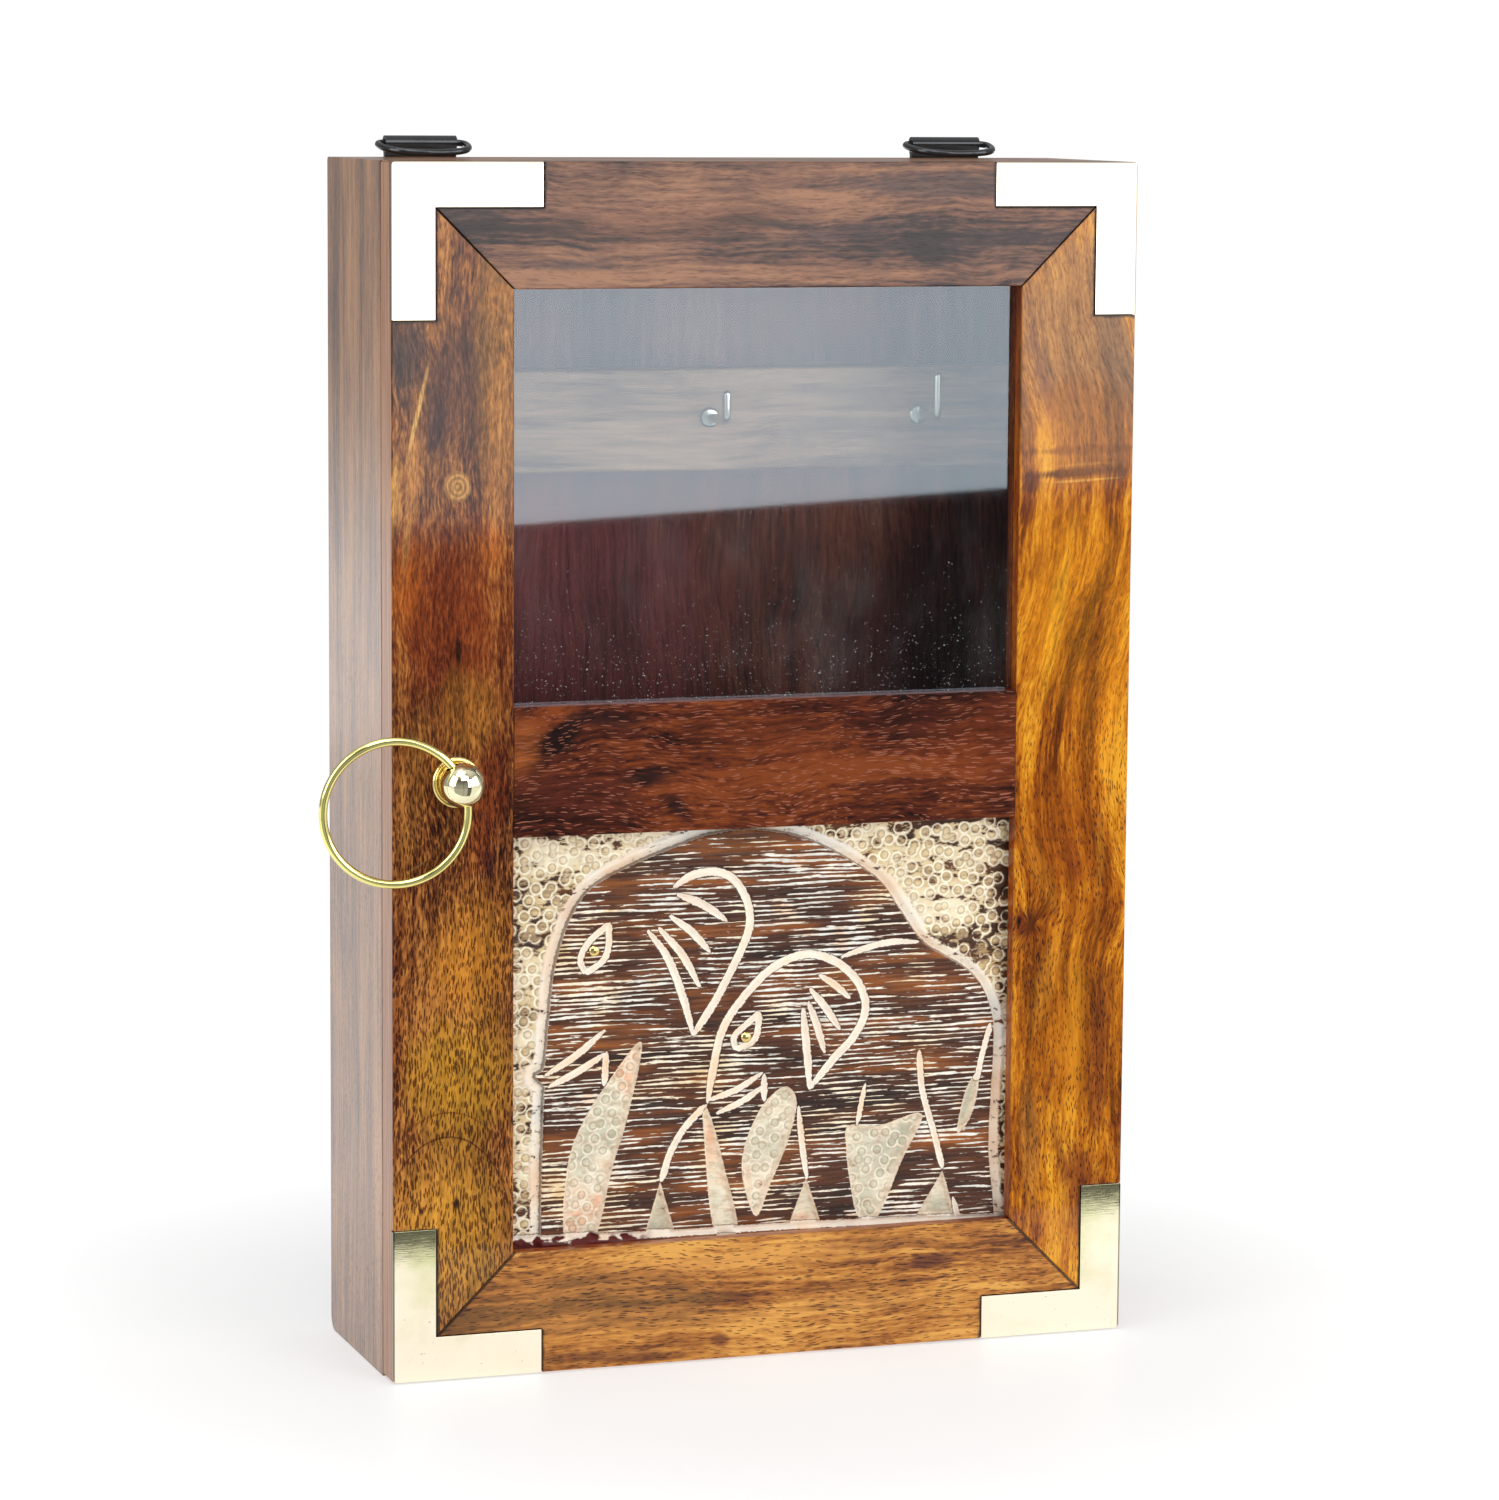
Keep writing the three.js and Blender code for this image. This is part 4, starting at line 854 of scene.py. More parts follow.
def dress_all():
    for side in ("left", "right"):
        dress(f"door_{side}_stile", f"{side}_stile", 0.35, 3)
        dress(f"case_{side}_side", "case", 0.5, 3)
        dress(f"glass_bead_{side}", "beads", 0.4)
        dress(f"hanger_{side}_strap", "black", 0.15)
    for end in ("top", "bottom"):
        dress(f"door_{end}_rail", f"{end}_rail", 0.35, 3)
        dress(f"case_{end}", "case_ends", 0.5, 3)
        dress(f"glass_bead_{end}", "beads", 0.4)
        for side in ("left", "right"):
            dress(f"corner_plate_{end}_{side}", "brass_plate", 0.15, 3)
    dress("door_mid_rail", "mid_rail", 0.35, 3)
    dress("back_panel", "back", 0.3)
    dress("key_rail", "rail", 0.8, 3)
    dress("glass_pane", "glass", 0.2, 1)
    for height in ("lower", "upper"):
        for leaf in ("case_leaf", "door_leaf", "pin"):
            dress(f"hinge_{height}_{leaf}", "brass_fitting", 0.12)
    dress("knob_washer", "brass_fitting", 0.12)
    dress("knob_nut", "brass_fitting", 0.25)
    dress("catch_housing", "plastic", 0.5, 3)
    dress("catch_magnet", "black", 0.2)
    dress("catch_strike", "zinc", 0.15)


# ---- Pieces made here ----

OUT = (0, -1, 0)
BACKWARD = (0, 1, 0)
SHARP = math.radians(30)
DOOR_FACE = -32.0
CASE_TOP = 310.0


def mesh_of(name, vertices, faces):
    """A mesh from vertices in millimetres."""
    mesh = bpy.data.meshes.new(name)
    mesh.from_pydata([tuple(float(c) * MM for c in v) for v in vertices], [], faces)
    mesh.update()
    return mesh


def make_piece(name, vertices, faces, skin, body, slot_name, replaced=(), smooth=True):
    """A piece riding on a CAD body, shaded smooth between its sharp edges."""
    mesh = mesh_of(name, vertices, faces)
    if smooth:
        mesh.polygons.foreach_set("use_smooth", [True] * len(mesh.polygons))
        mesh.set_sharp_from_angle(angle=SHARP)
    mesh.materials.append(SKINS[skin])
    piece = bpy.data.objects.new(name, mesh)
    bpy.context.scene.collection.objects.link(piece)
    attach(piece, body)
    if replaced:
        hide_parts(*replaced)
    return piece


def lathe(profile, sides, matrix):
    """A closed surface turned about the local Z axis from (radius, z) pairs on or off it."""
    vertices, faces, rows = [], [], []
    for radius, height in profile:
        if radius == 0:
            rows.append([len(vertices)])
            vertices.append(matrix @ Vector((0, 0, height)))
            continue
        row = []
        for i in range(sides):
            angle = 2 * math.pi * i / sides
            row.append(len(vertices))
            vertices.append(matrix @ Vector((
                radius * math.cos(angle), radius * math.sin(angle), height,
            )))
        rows.append(row)
    pairs = list(zip(rows, rows[1:]))
    if len(rows[0]) > 1:
        pairs.append((rows[-1], rows[0]))
    for low, high in pairs:
        for i in range(sides):
            j = (i + 1) % sides
            if len(low) == 1 and len(high) == 1:
                continue
            if len(low) == 1:
                faces.append((low[0], high[j], high[i]))
            elif len(high) == 1:
                faces.append((low[i], low[j], high[0]))
            else:
                faces.append((low[i], low[j], high[j], high[i]))
    return vertices, faces


def arc(centre_radius, centre_height, radius, start, end, steps):
    """Profile points on an arc, angles in degrees from the outward direction."""
    points = []
    for i in range(steps + 1):
        angle = math.radians(start + (end - start) * i / steps)
        points.append((centre_radius + radius * math.cos(angle),
                       centre_height + radius * math.sin(angle)))
    return points


def sweep(path, radii, sides, matrix):
    """A closed tube along path points (mm), its ends capped; radii has one for each point."""
    points = [Vector(p) for p in path]
    vertices, faces = [], []
    tangent = (points[1] - points[0]).normalized()
    normal = tangent.orthogonal().normalized()
    for i, point in enumerate(points):
        ahead = points[min(i + 1, len(points) - 1)]
        behind = points[max(i - 1, 0)]
        turned = (ahead - behind).normalized()
        normal = tangent.rotation_difference(turned) @ normal
        tangent = turned
        binormal = tangent.cross(normal)
        for k in range(sides):
            angle = 2 * math.pi * k / sides
            offset = radii[i] * (math.cos(angle) * normal + math.sin(angle) * binormal)
            vertices.append(matrix @ (point + offset))
    for i in range(len(points) - 1):
        for k in range(sides):
            j = (k + 1) % sides
            a, b = i * sides, (i + 1) * sides
            faces.append((a + k, a + j, b + j, b + k))
    last = (len(points) - 1) * sides
    for base, order in ((0, -1), (last, 1)):
        centre = len(vertices)
        vertices.append(matrix @ points[0 if base == 0 else -1])
        for k in range(sides):
            j = (k + 1) % sides
            edge = (base + k, base + j) if order == 1 else (base + j, base + k)
            faces.append((*edge, centre))
    return vertices, faces


def together(*parts):
    vertices, faces = [], []
    for some_vertices, some_faces in parts:
        base = len(vertices)
        vertices.extend(some_vertices)
        faces.extend(tuple(base + i for i in face) for face in some_faces)
    return vertices, faces


def carve(piece, vertices, faces):
    """Cuts a closed shape out of a piece, for good."""
    tool = bpy.data.objects.new("tool", mesh_of("solid", vertices, faces))
    bpy.context.scene.collection.objects.link(tool)
    modifier = piece.modifiers.new("cut", "BOOLEAN")
    modifier.operation = "DIFFERENCE"
    modifier.solver = "EXACT"
    modifier.object = tool
    bpy.context.view_layer.update()
    result = bpy.data.meshes.new_from_object(
        piece.evaluated_get(bpy.context.evaluated_depsgraph_get()))
    piece.modifiers.clear()
    piece.data = result
    bpy.data.objects.remove(tool)
    result.set_sharp_from_angle(angle=SHARP)


def facing(at, direction):
    """A matrix that puts local +Z along direction at a point in millimetres."""
    turn = Vector((0, 0, 1)).rotation_difference(Vector(direction))
    return Matrix.Translation(Vector(at)) @ turn.to_matrix().to_4x4()


# ---- The ring pull ----

KNOB = (-83.6, -39.2, 154.75)
BALL_RADIUS = 5.7
NECK_RADIUS = 2.6
STUD_END = -21.8
ROSETTE_RADIUS = 6.5
ROSETTE_THICKNESS = 2.2
ROSETTE_DISH = 1.3
SWIVEL = math.radians(68)
LEAN = math.radians(8.5)
RING_RADIUS = 18.25
RING_WIRE = 1.1
RING_END = math.radians(15)
CHORD_OFFSET = 0.8877
CHORD_DISTANCE = RING_RADIUS - CHORD_OFFSET
CROSS_HOLE = 1.62
SWIVELLED = Matrix.Translation(Vector(KNOB)) @ Matrix.Rotation(SWIVEL, 4, "Y")


def build_ball():
    """The ball, its neck and its stud, turned in one piece and drilled across for the ring."""
    outward = facing(KNOB, OUT)
    shoulder = -math.sqrt(BALL_RADIUS ** 2 - NECK_RADIUS ** 2)
    start = math.degrees(math.asin(shoulder / BALL_RADIUS))
    profile = [(0, STUD_END), (1.5, STUD_END), (2.0, STUD_END + 0.5), (2.0, -6.2)]
    profile += [(NECK_RADIUS + 0.3, -5.85), (NECK_RADIUS, -5.4)]
    profile += arc(0, 0, BALL_RADIUS, start, 90, 40)[:-1] + [(0, BALL_RADIUS)]
    ball = make_piece("ball", *lathe(profile, 72, outward), "brass_bright", "knob", "brass",
                      ["knob_ball"])
    drill = SWIVELLED @ facing((-12, 0, -CHORD_OFFSET), (1, 0, 0))
    carve(ball, *lathe([(0, 0), (CROSS_HOLE, 0), (CROSS_HOLE, 24), (0, 24)], 40, drill))


def build_rosette():
    on_door = facing((KNOB[0], DOOR_FACE - 0.05, KNOB[2]), OUT)
    rim, top, dish = ROSETTE_RADIUS, ROSETTE_THICKNESS, ROSETTE_DISH
    profile = [(2.3, 0), (rim - 0.15, 0), (rim, 0.2), (rim, top * 0.68), (rim - 0.12, top * 0.86)]
    profile += [(rim - 0.4, top * 0.97), (rim - 0.8, top), (rim - 1.25, top * 0.97)]
    profile += [(rim - 1.75, top * 0.82), (rim - 2.3, dish), (2.3, dish)]
    make_piece("rosette", *lathe(profile, 64, on_door), "brass_gold", "door", "brass",
               ["knob_rosette"])


def build_ring():
    """The ring, open where its ends go into the ball."""
    lean = Matrix.Translation(Vector((0, 0, -CHORD_OFFSET))) @ Matrix.Rotation(LEAN, 4, "X")
    path = []
    steps = 150
    for i in range(steps + 1):
        angle = RING_END + i / steps * (2 * math.pi - 2 * RING_END)
        path.append((RING_RADIUS * math.sin(angle), 0,
                     RING_RADIUS * math.cos(angle) - CHORD_DISTANCE))
    radii = [RING_WIRE] * len(path)
    make_piece("ring", *sweep(path, radii, 20, SWIVELLED @ lean), "brass_ring", "pull_ring",
               "brass", ["pull_ring"])


# ---- Hooks ----

HOOK_HEIGHT = 242.0
HOOK_REACH = 14
HOOK_WIRE = 1.25
HOOK_BEND = 3.2
HOOK_TIPS = {"left": 8.5, "middle": 6.8, "right": 10.8}


def hook_path(tip):
    """Out of the rail, round the bend and up to the tip, in Y and Z."""
    elbow = -HOOK_REACH + HOOK_BEND
    path = [(0, 1.0, 0), (0, -0.5, 0), (0, elbow * 0.5, 0)]
    for i in range(17):
        t = i / 16
        y = (1 - t) ** 2 * elbow + 2 * t * (1 - t) * -HOOK_REACH + t ** 2 * -HOOK_REACH
        path.append((0, y, t ** 2 * HOOK_BEND))
    rise = tip - HOOK_BEND
    path += [(0, -HOOK_REACH, HOOK_BEND + rise * t) for t in (0.3, 0.6, 1.0)]
    straight = len(path)
    rounded = 6
    tip_radii = []
    for i in range(1, rounded + 1):
        angle = math.pi / 2 * i / rounded
        path.append((0, -HOOK_REACH, tip + HOOK_WIRE * math.sin(angle) * 0.999))
        tip_radii.append(max(HOOK_WIRE * math.cos(angle), 0.02))
    return path, [HOOK_WIRE] * straight + tip_radii


def build_hooks():
    for name, tip in HOOK_TIPS.items():
        node = f"key_hook_{name}"
        low, high = box_mm(node)
        rail_low, _ = box_mm("key_rail")
        centre = ((low[0] + high[0]) / 2, rail_low[1], HOOK_HEIGHT)
        outward = facing(centre, OUT)
        collar = lathe([(0, 0.05), (2.8, 0.05), (2.8, 0.4), (2.5, 0.8), (1.9, 1.1), (0, 1.1)],
                       32, outward)
        shank = lathe([(0, -7), (1.1, -5), (1.1, 0.2), (0, 0.2)], 16, outward)
        wire = sweep(*hook_path(tip), 20, Matrix.Translation(Vector(centre)))
        make_piece(f"hook_{name}", *together(wire, collar, shank), "nickel", "case",
                   "nickel_wire", [node])


# ---- Hanger rings ----

D_WIRE = 0.9
D_HALF = 25.4 / 2 - D_WIRE
D_REACH = 14.4 - 2 * D_WIRE
D_CORNER = 3
D_DROOP = math.radians(10.5)
STRAP_RISE = 5.5
BAR_HEIGHT = STRAP_RISE - (D_WIRE + 0.2 + 0.8)
BAR_DEPTH = 32.8
D_GAP = 0.15


def curve_points(controls, steps):
    """Points on a Bezier curve of any degree."""
    points = []
    degree = len(controls) - 1
    for i in range(steps):
        t = i / steps
        total = Vector((0, 0, 0))
        for k, control in enumerate(controls):
            total += math.comb(degree, k) * t ** k * (1 - t) ** (degree - k) * Vector(control)
        points.append(total)
    return points


def d_path():
    """Round the D from the middle of its straight side, and back to it."""
    def at(x, y):
        return (x, -y, 0)

    shoulder = D_HALF - D_CORNER
    path = curve_points([at(D_GAP, 0), at(shoulder, 0)], 6)
    path += curve_points([at(shoulder, 0), at(D_HALF, 0), at(D_HALF, D_CORNER)], 10)
    path += curve_points([at(D_HALF, D_CORNER), at(D_HALF, D_REACH * 0.8),
                          at(D_HALF * 0.6, D_REACH), at(0, D_REACH)], 24)
    path += curve_points([at(0, D_REACH), at(-D_HALF * 0.6, D_REACH),
                          at(-D_HALF, D_REACH * 0.8), at(-D_HALF, D_CORNER)], 24)
    path += curve_points([at(-D_HALF, D_CORNER), at(-D_HALF, 0), at(-shoulder, 0)], 10)
    path += curve_points([at(-shoulder, 0), at(-D_GAP, 0)], 6)
    return path + [Vector(at(-D_GAP, 0))]


def build_d_rings():
    path = d_path()
    for side in ("left", "right"):
        low, high = box_mm(f"hanger_{side}_strap")
        centre = Vector(((low[0] + high[0]) / 2, BAR_DEPTH, CASE_TOP + BAR_HEIGHT))
        matrix = Matrix.Translation(centre) @ Matrix.Rotation(D_DROOP, 4, "X")
        make_piece(f"d_ring_{side}", *sweep(path, [D_WIRE] * len(path), 16, matrix), "black",
                   f"{side}_d_ring", "black_steel", [f"hanger_{side}_d_ring"])


# ---- Screws, nails and pins ----

SCREW_HEAD = 2.1
SCREW_SHANK = 1.1


def screw_mesh(length, matrix):
    """A countersunk screw with its head flush at the local origin and a threaded shank."""
    profile = [(0, -length)]
    turns = 12
    pitch = (length - 3.2) / turns
    for i in range(turns):
        base = -length + 1.6 + i * pitch
        profile += [(SCREW_SHANK * 0.8, base), (SCREW_SHANK, base + pitch * 0.5)]
    profile += [(SCREW_SHANK * 0.8, -1.6), (SCREW_HEAD - 0.08, -0.3), (SCREW_HEAD, -0.2)]
    profile += [(SCREW_HEAD - 0.06, -0.06), (SCREW_HEAD - 0.25, 0.0), (0, 0.0)]
    return lathe(profile, 32, matrix)


def slot_tool(matrix):
    """A tapered blade that leaves a screwdriver slot."""
    half, width, depth = 1.55, 0.27, 0.75
    corners = [(sx * (half if sz > 0 else half * 0.7), sy * width, 0.4 if sz > 0 else -depth)
               for sz in (-1, 1) for sx in (-1, 1) for sy in (-1, 1)]
    vertices = [matrix @ Vector(c) for c in corners]
    faces = [(0, 1, 3, 2), (4, 6, 7, 5), (0, 4, 5, 1), (2, 3, 7, 6), (0, 2, 6, 4), (1, 5, 7, 3)]
    return vertices, faces


def build_screw(node, direction, body, skin, slot_name, length, turn):
    low, high = box_mm(node)
    centre = [(a + b) / 2 for a, b in zip(low, high)]
    axis = max(range(3), key=lambda i: abs(direction[i]))
    centre[axis] = high[axis] if direction[axis] > 0 else low[axis]
    matrix = facing(centre, direction) @ Matrix.Rotation(math.radians(turn), 4, "Z")
    piece = make_piece(f"{node}_turned", *screw_mesh(length, matrix), skin, body, slot_name,
                       [node])
    for quarter in (0, 90):
        carve(piece, *slot_tool(matrix @ Matrix.Rotation(math.radians(quarter), 4, "Z")))


def build_screws():
    turn = 17
    for height in ("lower", "upper"):
        for end in ("bottom", "top"):
            for side, direction in (("case", OUT), ("door", BACKWARD)):
                turn += 38
                build_screw(f"hinge_{height}_{side}_screw_{end}", direction, side,
                            "brass_fitting", "brass", 7, turn)
    for side in ("left", "right"):
        for screw_side in ("left", "right"):
            turn += 53
            build_screw(f"hanger_{side}_screw_{screw_side}", BACKWARD, "case", "black",
                        "black_steel", 12, turn)
    for end in ("bottom", "top"):
        turn += 29
        build_screw(f"catch_screw_{end}", (1, 0, 0), "case", "zinc", "zinc_steel", 7, turn)
    build_screw("strike_screw", BACKWARD, "door", "zinc", "zinc_steel", 7, 71)


def build_nails():
    """The two brass nails that are the animals' eyes."""
    for size in ("large", "small"):
        node = f"eye_nail_{size}"
        low, high = box_mm(node)
        centre = ((low[0] + high[0]) / 2, low[1] + 0.9, (low[2] + high[2]) / 2)
        profile = [(0, -2.7), (0.5, -2.2), (0.5, 0.1), (1.25, 0.12), (1.4, 0.2), (1.4, 0.32)]
        profile += [(1.25, 0.52), (0.95, 0.7), (0.55, 0.84), (0, 0.9)]
        make_piece(f"{node}_turned", *lathe(profile, 32, facing(centre, OUT)),
                   "brass_gold", "door", "brass", [node])


PLATE_PIN = [(0, -1.2), (0.75, -1.2), (0.8, 0.03), (0, 0.03)]
PANEL_PIN = [(0, -9), (0.6, -7), (0.6, 0.02), (1.5, 0.05), (1.6, 0.2), (1.3, 0.42), (0, 0.5)]
PLATE_ENDS = {-1: 0.5, 1: CASE_TOP}
BACK_SURFACE = 32.0


def build_plate_pins():
    """Filed brass pins through the corner plates: one in each arm and one in the corner."""
    parts = []
    for end in (1, -1):
        for side in (-1, 1):
            for across, inward in ((33.0, 5.5), (5.5, 33.0), (5.6, 5.6)):
                x = side * (HALF_WIDTH / MM - across)
                centre = (x, DOOR_FACE - 0.02, PLATE_ENDS[end] - end * inward)
                parts.append(lathe(PLATE_PIN, 20, facing(centre, OUT)))
    make_piece("plate_pins", *together(*parts), "brass_plate", "door", "brass")


def build_panel_pins():
    """Panel pins round the back."""
    places = [(x, z) for x in (-93.5, 93.5) for z in (20, 88, 155, 222, 284)]
    places += [(x, z) for z in (6.8, 303.2) for x in (-45, 0, 42)]
    parts = [lathe(PANEL_PIN, 20, facing((x, BACK_SURFACE, z), BACKWARD)) for x, z in places]
    make_piece("panel_pins", *together(*parts), "black", "case", "black_steel")


# ---- The carved panel ----

OUTLINE = [(-59.5, 30), (-59.3, 50), (-58.7, 71), (-58.5, 74), (-61, 77), (-58.6, 79.5),
           (-57.5, 90.5), (-56, 104), (-53, 114.5), (-49, 122), (-44, 126.5), (-33, 131.5),
           (-23, 135), (-15, 137.5), (-5, 138.5), (7, 137), (16.5, 133.5), (25.5, 128.5),
           (33, 123), (38, 116), (44.5, 107), (50.5, 103), (57, 99), (61.5, 94), (64.3, 87),
           (65, 79), (64.2, 62), (64, 49.5), (65, 40), (66, 30)]
EAR = [(-24, 124.5), (-19, 127.3), (-13, 128), (-8, 126), (-4.5, 121), (-3.2, 115), (-5, 108.5),
       (-11.5, 96), (-15, 90.5), (-18.5, 85.5)]
SMALL_EAR = [(-14.5, 67.5), (-13, 76.5), (-10.5, 86.5), (-5.5, 94), (1.5, 101), (8.5, 104.5),
             (14.5, 105), (21, 102.5), (26, 98), (28.5, 93), (28.5, 88), (25.5, 82.5), (20, 77),
             (13.5, 69.5)]
# Gouge strokes: points and greatest half width; True tapers both ends.
STROKES = [
    (EAR, 0.75, False), (SMALL_EAR, 0.75, False),
    ([(-18.5, 85.5), (-21.5, 96), (-25.5, 106), (-31, 113.5)], 0.75, True),
    ([(-23, 122.5), (-16, 119.5), (-9.5, 115)], 0.75, True),
    ([(-25, 117), (-19, 112.5), (-14, 107)], 0.7, True),
    ([(-28, 114), (-21.5, 106.5), (-16.8, 98)], 0.7, True),
    ([(13.5, 69.5), (13, 77), (11.5, 91)], 0.75, True),
    ([(16, 99.5), (20.5, 96.5), (24.5, 93)], 0.65, True),
    ([(13.5, 96), (18, 90.5), (21.8, 84.8)], 0.7, True),
    ([(13, 92.5), (15.5, 86), (17.6, 79)], 0.7, True),
    ([(22, 104), (30, 106.3), (36, 107.3), (43.5, 107)], 0.6, True),
    ([(-58.5, 77), (-50, 82), (-42.5, 88)], 0.65, True),
    ([(-57.5, 74), (-49, 78), (-42.2, 82)], 0.65, True),
    ([(-42, 82.3), (-42.5, 73.5)], 0.65, True),
    ([(-14.5, 68), (-6.5, 70.5), (0.5, 74.5)], 0.6, True),
    ([(-12, 64.5), (-5, 67.3), (1.5, 71.3)], 0.6, True),
    ([(1, 74.2), (1, 67)], 0.6, True),
    ([(-15, 66.8), (-20.5, 61.5), (-24.5, 55), (-27, 47.5)], 0.65, False),
    ([(10.5, 65), (11.6, 55), (13, 45.5)], 0.6, True),
    ([(44, 78), (45, 67.5), (48.5, 55.5), (51, 46)], 0.6, False),
    ([(54, 38), (56, 31)], 0.5, True),
    ([(29, 70), (26.8, 59)], 0.5, True),
    ([(64, 84), (61.8, 76), (60.3, 69)], 0.55, False),
    ([(-47.6, 103), (-49, 107), (-46.5, 111.5), (-41.2, 115.8)], 0.6, False),
    ([(-47.6, 103), (-42.2, 107.3), (-41.2, 115.8)], 0.6, False),
    ([(-6.8, 81), (-7.3, 84.5), (-4, 87.5), (-0.4, 90.5)], 0.6, False),
    ([(-6.8, 81), (-1.6, 83.6), (-0.4, 90.5)], 0.6, False),
]
LEAVES = [
    [(-32.5, 84.5), (-41.5, 74.5), (-49, 63), (-52.5, 52), (-53, 34), (-45, 34), (-40.5, 51),
     (-36, 66)],
    [(-15.5, 67), (-15.5, 59.5), (-12.5, 33.5), (-6, 33.5), (-10, 51), (-13, 62)],
    [(6.5, 70.5), (10, 66.5), (8, 57), (3, 45), (-1, 36.5), (-4.6, 46), (-4.5, 54.5),
     (0, 65)],
    [(24.5, 59), (33, 58.6), (45, 61), (39.5, 49), (33, 34.5), (27.5, 34.5), (25, 44),
     (23.8, 54)],
    [(-27.3, 47.5), (-31.5, 33.5), (-23, 33)],
    [(12.8, 46), (8, 33.5), (17.2, 33)],
    [(51, 45.5), (43.5, 33.5), (54.8, 32.5)],
    [(60.5, 71.5), (57, 66), (55, 55.5), (58.5, 59), (60.6, 66)],
]
STAMPED_LEAVES = (0, 2, 3)
STROKE_WIDENING = 1.45
FAR_OUTSIDE = 1e9
STAMP_PITCH = 3.7
STAMP_JITTER = 1.2
STAMP_START = (-72, 28)
STAMP_ROWS = 32
STAMP_COLUMNS = 40
GRID_STEP = 0.43
# The drawing's fine grid lies between these; the panel's tongues are beyond them.
SIGHT_X = 68.6
SIGHT_Z = (31.9, 140.2)
TONGUE_X = 70
TONGUE_Z = (30.5, 142)
TONGUE_DEPTH = 0.3
NO_STAMP = 9
GROUND_LINE = [(-66, 34.6), (-30, 33.6), (0, 33.4), (35, 32.9), (70, 31.8)]


def smooth_curve(points, closed=False, steps=6):
    """A Catmull-Rom curve through the points."""
    pts = [np.array(p, float) for p in points]
    if closed:
        pts = [pts[-1]] + pts + [pts[0], pts[1]]
    else:
        pts = [2 * pts[0] - pts[1]] + pts + [2 * pts[-1] - pts[-2]]
    result = []
    for a, b, c, d in zip(pts, pts[1:], pts[2:], pts[3:]):
        for i in range(steps):
            t = i / steps
            result.append(0.5 * (2 * b + (c - a) * t + (2 * a - 5 * b + 4 * c - d) * t ** 2
                                 + (3 * b - a - 3 * c + d) * t ** 3))
    if not closed:
        result.append(pts[-2])
    return np.array(result)


def path_distance(x, z, path, closed=False, half_width=None):
    """Each point's distance to a path; half_width(t) is taken off, with t from 0 to 1 along it."""
    ends = np.roll(path, -1, axis=0) if closed else path[1:]
    starts = path if closed else path[:-1]
    lengths = np.hypot(*(ends - starts).T)
    reach = np.concatenate([[0], np.cumsum(lengths)])
    nearest = np.full(x.shape, FAR_OUTSIDE)
    for i, (a, b) in enumerate(zip(starts, ends)):
        edge = b - a
        span = max(edge @ edge, 1e-9)
        t = np.clip(((x - a[0]) * edge[0] + (z - a[1]) * edge[1]) / span, 0, 1)
        distance = np.hypot(x - a[0] - t * edge[0], z - a[1] - t * edge[1])
        if half_width is not None:
            distance = distance - half_width((reach[i] + t * lengths[i]) / reach[-1])
        nearest = np.minimum(nearest, distance)
    return nearest


def inside(x, z, path):
    """Which points lie inside a closed path."""
    within = np.zeros(x.shape, bool)
    for a, b in zip(path, np.roll(path, -1, axis=0)):
        if a[1] == b[1]:
            continue
        crosses = (a[1] > z) != (b[1] > z)
        within ^= crosses & (x < (b[0] - a[0]) * (z - a[1]) / (b[1] - a[1]) + a[0])
    return within


def bumpy(x, z, size, seed):
    """Smooth seeded noise from -1 to 1 with features of the given size in millimetres."""
    rng = np.random.default_rng(seed)
    count = 256
    grid = rng.uniform(-1, 1, (count, count))
    u, v = (x + 100) / size, (z + 100) / size
    i, j = np.floor(u).astype(int), np.floor(v).astype(int)
    s, t = u - i, v - j
    s, t = s * s * (3 - 2 * s), t * t * (3 - 2 * t)

    def corner(a, b):
        return grid[(i + a) % count, (j + b) % count]

    return ((corner(0, 0) * (1 - s) + corner(1, 0) * s) * (1 - t)
            + (corner(0, 1) * (1 - s) + corner(1, 1) * s) * t)


def stamp_distance(x, z, seed=5):
    """Distance to the nearest punch mark, the marks set by hand in uneven rows."""
    rng = np.random.default_rng(seed)
    nearest = np.full(x.shape, FAR_OUTSIDE)
    for row in range(STAMP_ROWS):
        for column in range(STAMP_COLUMNS):
            px = STAMP_START[0] + (column + 0.5 * (row % 2)) * STAMP_PITCH
            px += rng.uniform(-STAMP_JITTER, STAMP_JITTER)
            pz = STAMP_START[1] + row * STAMP_PITCH * 0.95
            pz += rng.uniform(-STAMP_JITTER, STAMP_JITTER)
            close = (np.abs(x - px) < STAMP_PITCH) & (np.abs(z - pz) < STAMP_PITCH)
            nearest[close] = np.minimum(nearest[close], np.hypot(x[close] - px, z[close] - pz))
    return nearest


def signed(within, distance):
    """A distance that is positive inside."""
    return np.where(within, 1, -1) * distance


def leaf_fields(x, z):
    """How far inside a leaf each point is, and which points are in a leaf without stamps."""
    leaf = np.full(x.shape, -FAR_OUTSIDE)
    plain_leaf = np.zeros(x.shape, bool)
    for k, points in enumerate(LEAVES):
        path = smooth_curve(points, closed=True) if len(points) > 3 else np.array(points, float)
        within = inside(x, z, path)
        leaf = np.maximum(leaf, signed(within, path_distance(x, z, path, closed=True)))
        plain_leaf |= within & (k not in STAMPED_LEAVES)
    return leaf, plain_leaf


